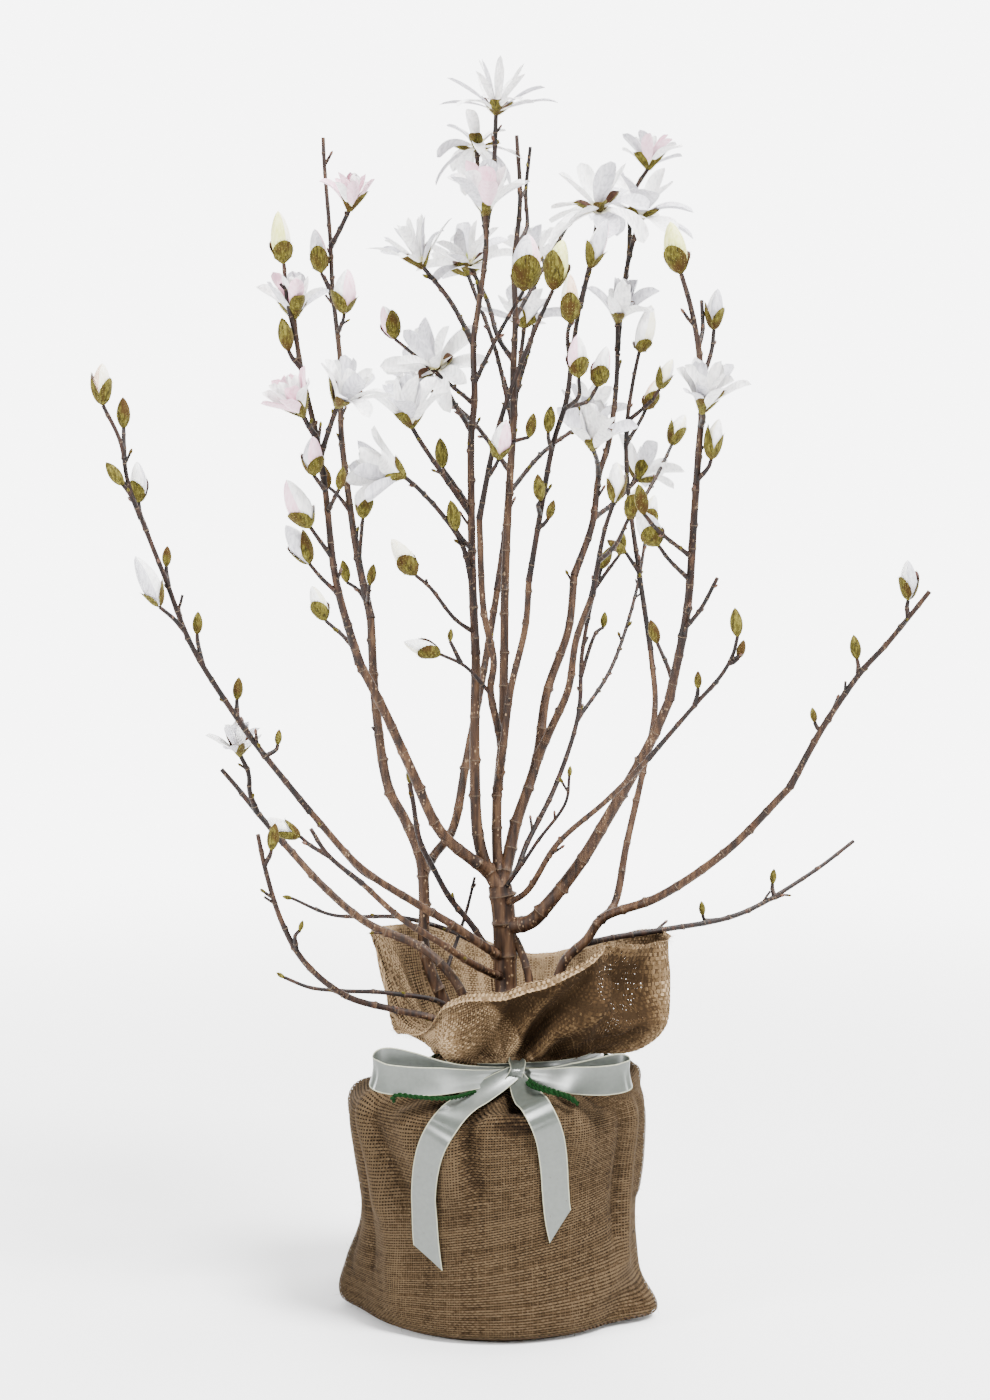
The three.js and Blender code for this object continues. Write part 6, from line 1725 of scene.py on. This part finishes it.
def add_twine(points):
    """The twine's turn round the neck and its loose ends"""
    heap = Heap()
    for k, route in enumerate([neck_line(points, TWINE_HEIGHT, off=2.2)] + TWINE_ENDS):
        yarn(heap, route, TWINE_SEED + k)
    looks = [
        thread_look("wool", (0.0015, 0.012, 0.002), (0.004, 0.026, 0.005)),
        thread_look("wool_fuzz", (0.002, 0.018, 0.003), (0.006, 0.036, 0.008)),
    ]
    heap.make("wool_twine", looks, "wool", ["twine_tie"])


def dress(node, look):
    """Gives one of the frame's own nodes its look"""
    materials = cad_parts[node].data.materials
    materials.clear()
    materials.append(look.material)


def dress_pot():
    plastic = Look("pot_plastic", 0.5)
    scuff = plastic.noise((60, 60, 160), 4)
    plastic.colour(plastic.ramp(scuff, [(0.35, (0.010, 0.010, 0.011)), (0.7, (0.022, 0.022, 0.023))]))
    dress("nursery_pot", plastic.rough(scuff, 0.4, 0.62))
    soil = Look("soil", 0.95)
    crumbs = soil.noise((220, 220, 220), 5, 0.7)
    peat = [(0.3, (0.010, 0.006, 0.004)), (0.55, (0.045, 0.027, 0.017)), (0.8, (0.14, 0.09, 0.05))]
    soil.colour(soil.ramp(crumbs, peat))
    dress("potting_soil", soil.bump(crumbs, 3.0, 1.0))


# The studio

def aim(thing, target):
    direction = np.array(target, float) - np.array(thing.location)
    flat = math.hypot(direction[0], direction[1])
    turn = math.atan2(direction[1], direction[0]) - math.pi / 2
    thing.rotation_euler = (math.atan2(flat, -direction[2]), 0, turn)


def place_in_scene(name, data, place):
    """An object of the studio's own, in metres"""
    thing = bpy.data.objects.new(name, data)
    thing.location = place
    bpy.context.scene.collection.objects.link(thing)
    return thing


def add_light(name, place, target, size, power, spread=180):
    data = bpy.data.lights.new(name, "AREA")
    data.shape = "DISK"
    data.size = size
    data.energy = power
    data.spread = math.radians(spread)
    aim(place_in_scene(name, data, place), target)


def add_camera():
    data = bpy.data.cameras.new("camera")
    data.lens = LENS
    data.sensor_width = 36
    data.clip_start = 0.05
    camera = place_in_scene("camera", data, EYE * MM)
    camera.rotation_euler = (math.pi / 2 - EYE_DROP, 0, 0)
    bpy.context.scene.camera = camera


# The studio's glow: how far a direction points to the back where it begins and where it is full,
# and its strength before the first and past the second
GLOW = (0.25, 0.9, 0.7, 7.0)
# The floor passes into that glow between two distances
FLOOR_FADE = (0.5, 3.5, 0, 1)
FLOOR_HALF = 30
# What the lights aim at
SACK_TOP = (0, 0, 0.25)
CROWN = (0, 0, 0.88)


def floor_look():
    """A pale floor that passes into the studio's own glow far from the plant"""
    look = Look("floor", 0.9)
    look.surface.inputs["Base Color"].default_value = (0.82, 0.82, 0.82, 1)
    far = look.node("VectorMath", Vector=look.place)
    far.operation = "LENGTH"
    fade = smooth_range(look.node("MapRange", Value=far.outputs["Value"]), *FLOOR_FADE)
    way = look.node("VectorMath", Vector=look.place)
    way.operation = "NORMALIZE"
    apart = look.node("SeparateXYZ", Vector=way.outputs["Vector"])
    strength = smooth_range(look.node("MapRange", Value=apart.outputs["Y"]), *GLOW)
    look.blend(fade, look.node("Emission", Strength=strength).outputs["Emission"])
    return look.material


def add_studio():
    """The floor, a world that glows behind the plant, and a wide soft sun"""
    mesh = bpy.data.meshes.new("floor")
    corners = [(x * FLOOR_HALF, y * FLOOR_HALF, 0) for x, y in ((-1, -1), (1, -1), (1, 1), (-1, 1))]
    mesh.from_pydata(corners, [], [(0, 1, 2, 3)])
    mesh.materials.append(floor_look())
    floor = place_in_scene("floor", mesh, (0, 0, 0))
    world = bpy.data.worlds.new("studio")
    world.use_nodes = True
    tree = world.node_tree
    ground = tree.nodes["Background"]
    ground.inputs["Color"].default_value = (1, 1, 1, 1)
    apart = tree.nodes.new("ShaderNodeSeparateXYZ")
    tree.links.new(tree.nodes.new("ShaderNodeTexCoord").outputs["Generated"], apart.inputs["Vector"])
    glow = tree.nodes.new("ShaderNodeMapRange")
    tree.links.new(apart.outputs["Y"], glow.inputs["Value"])
    tree.links.new(smooth_range(glow, *GLOW), ground.inputs["Strength"])
    bpy.context.scene.world = world
    sun = bpy.data.lights.new("sun", "SUN")
    sun.energy = 10.5
    sun.angle = math.radians(20)
    aim(place_in_scene("sun", sun, (1.0, -0.85, 1.9)), (0, 0, 0))


add_camera()
add_studio()
add_light("softbox_left", (-1.8, -1.2, 0.9), SACK_TOP, 0.5, 62)
add_light("softbox_top", (0.5, 0.15, 2.6), SACK_TOP, 0.6, 65)
add_light("softbox_right", (1.7, -1.3, 0.8), SACK_TOP, 0.5, 20)
add_light("softbox_crown", (-0.5, -1.6, 1.5), CROWN, 0.6, 3, 50)
dress_pot()
cloth, cloth_normals = add_sack()
add_ribbon(cloth, cloth_normals)
add_twine(cloth)
add_plant()
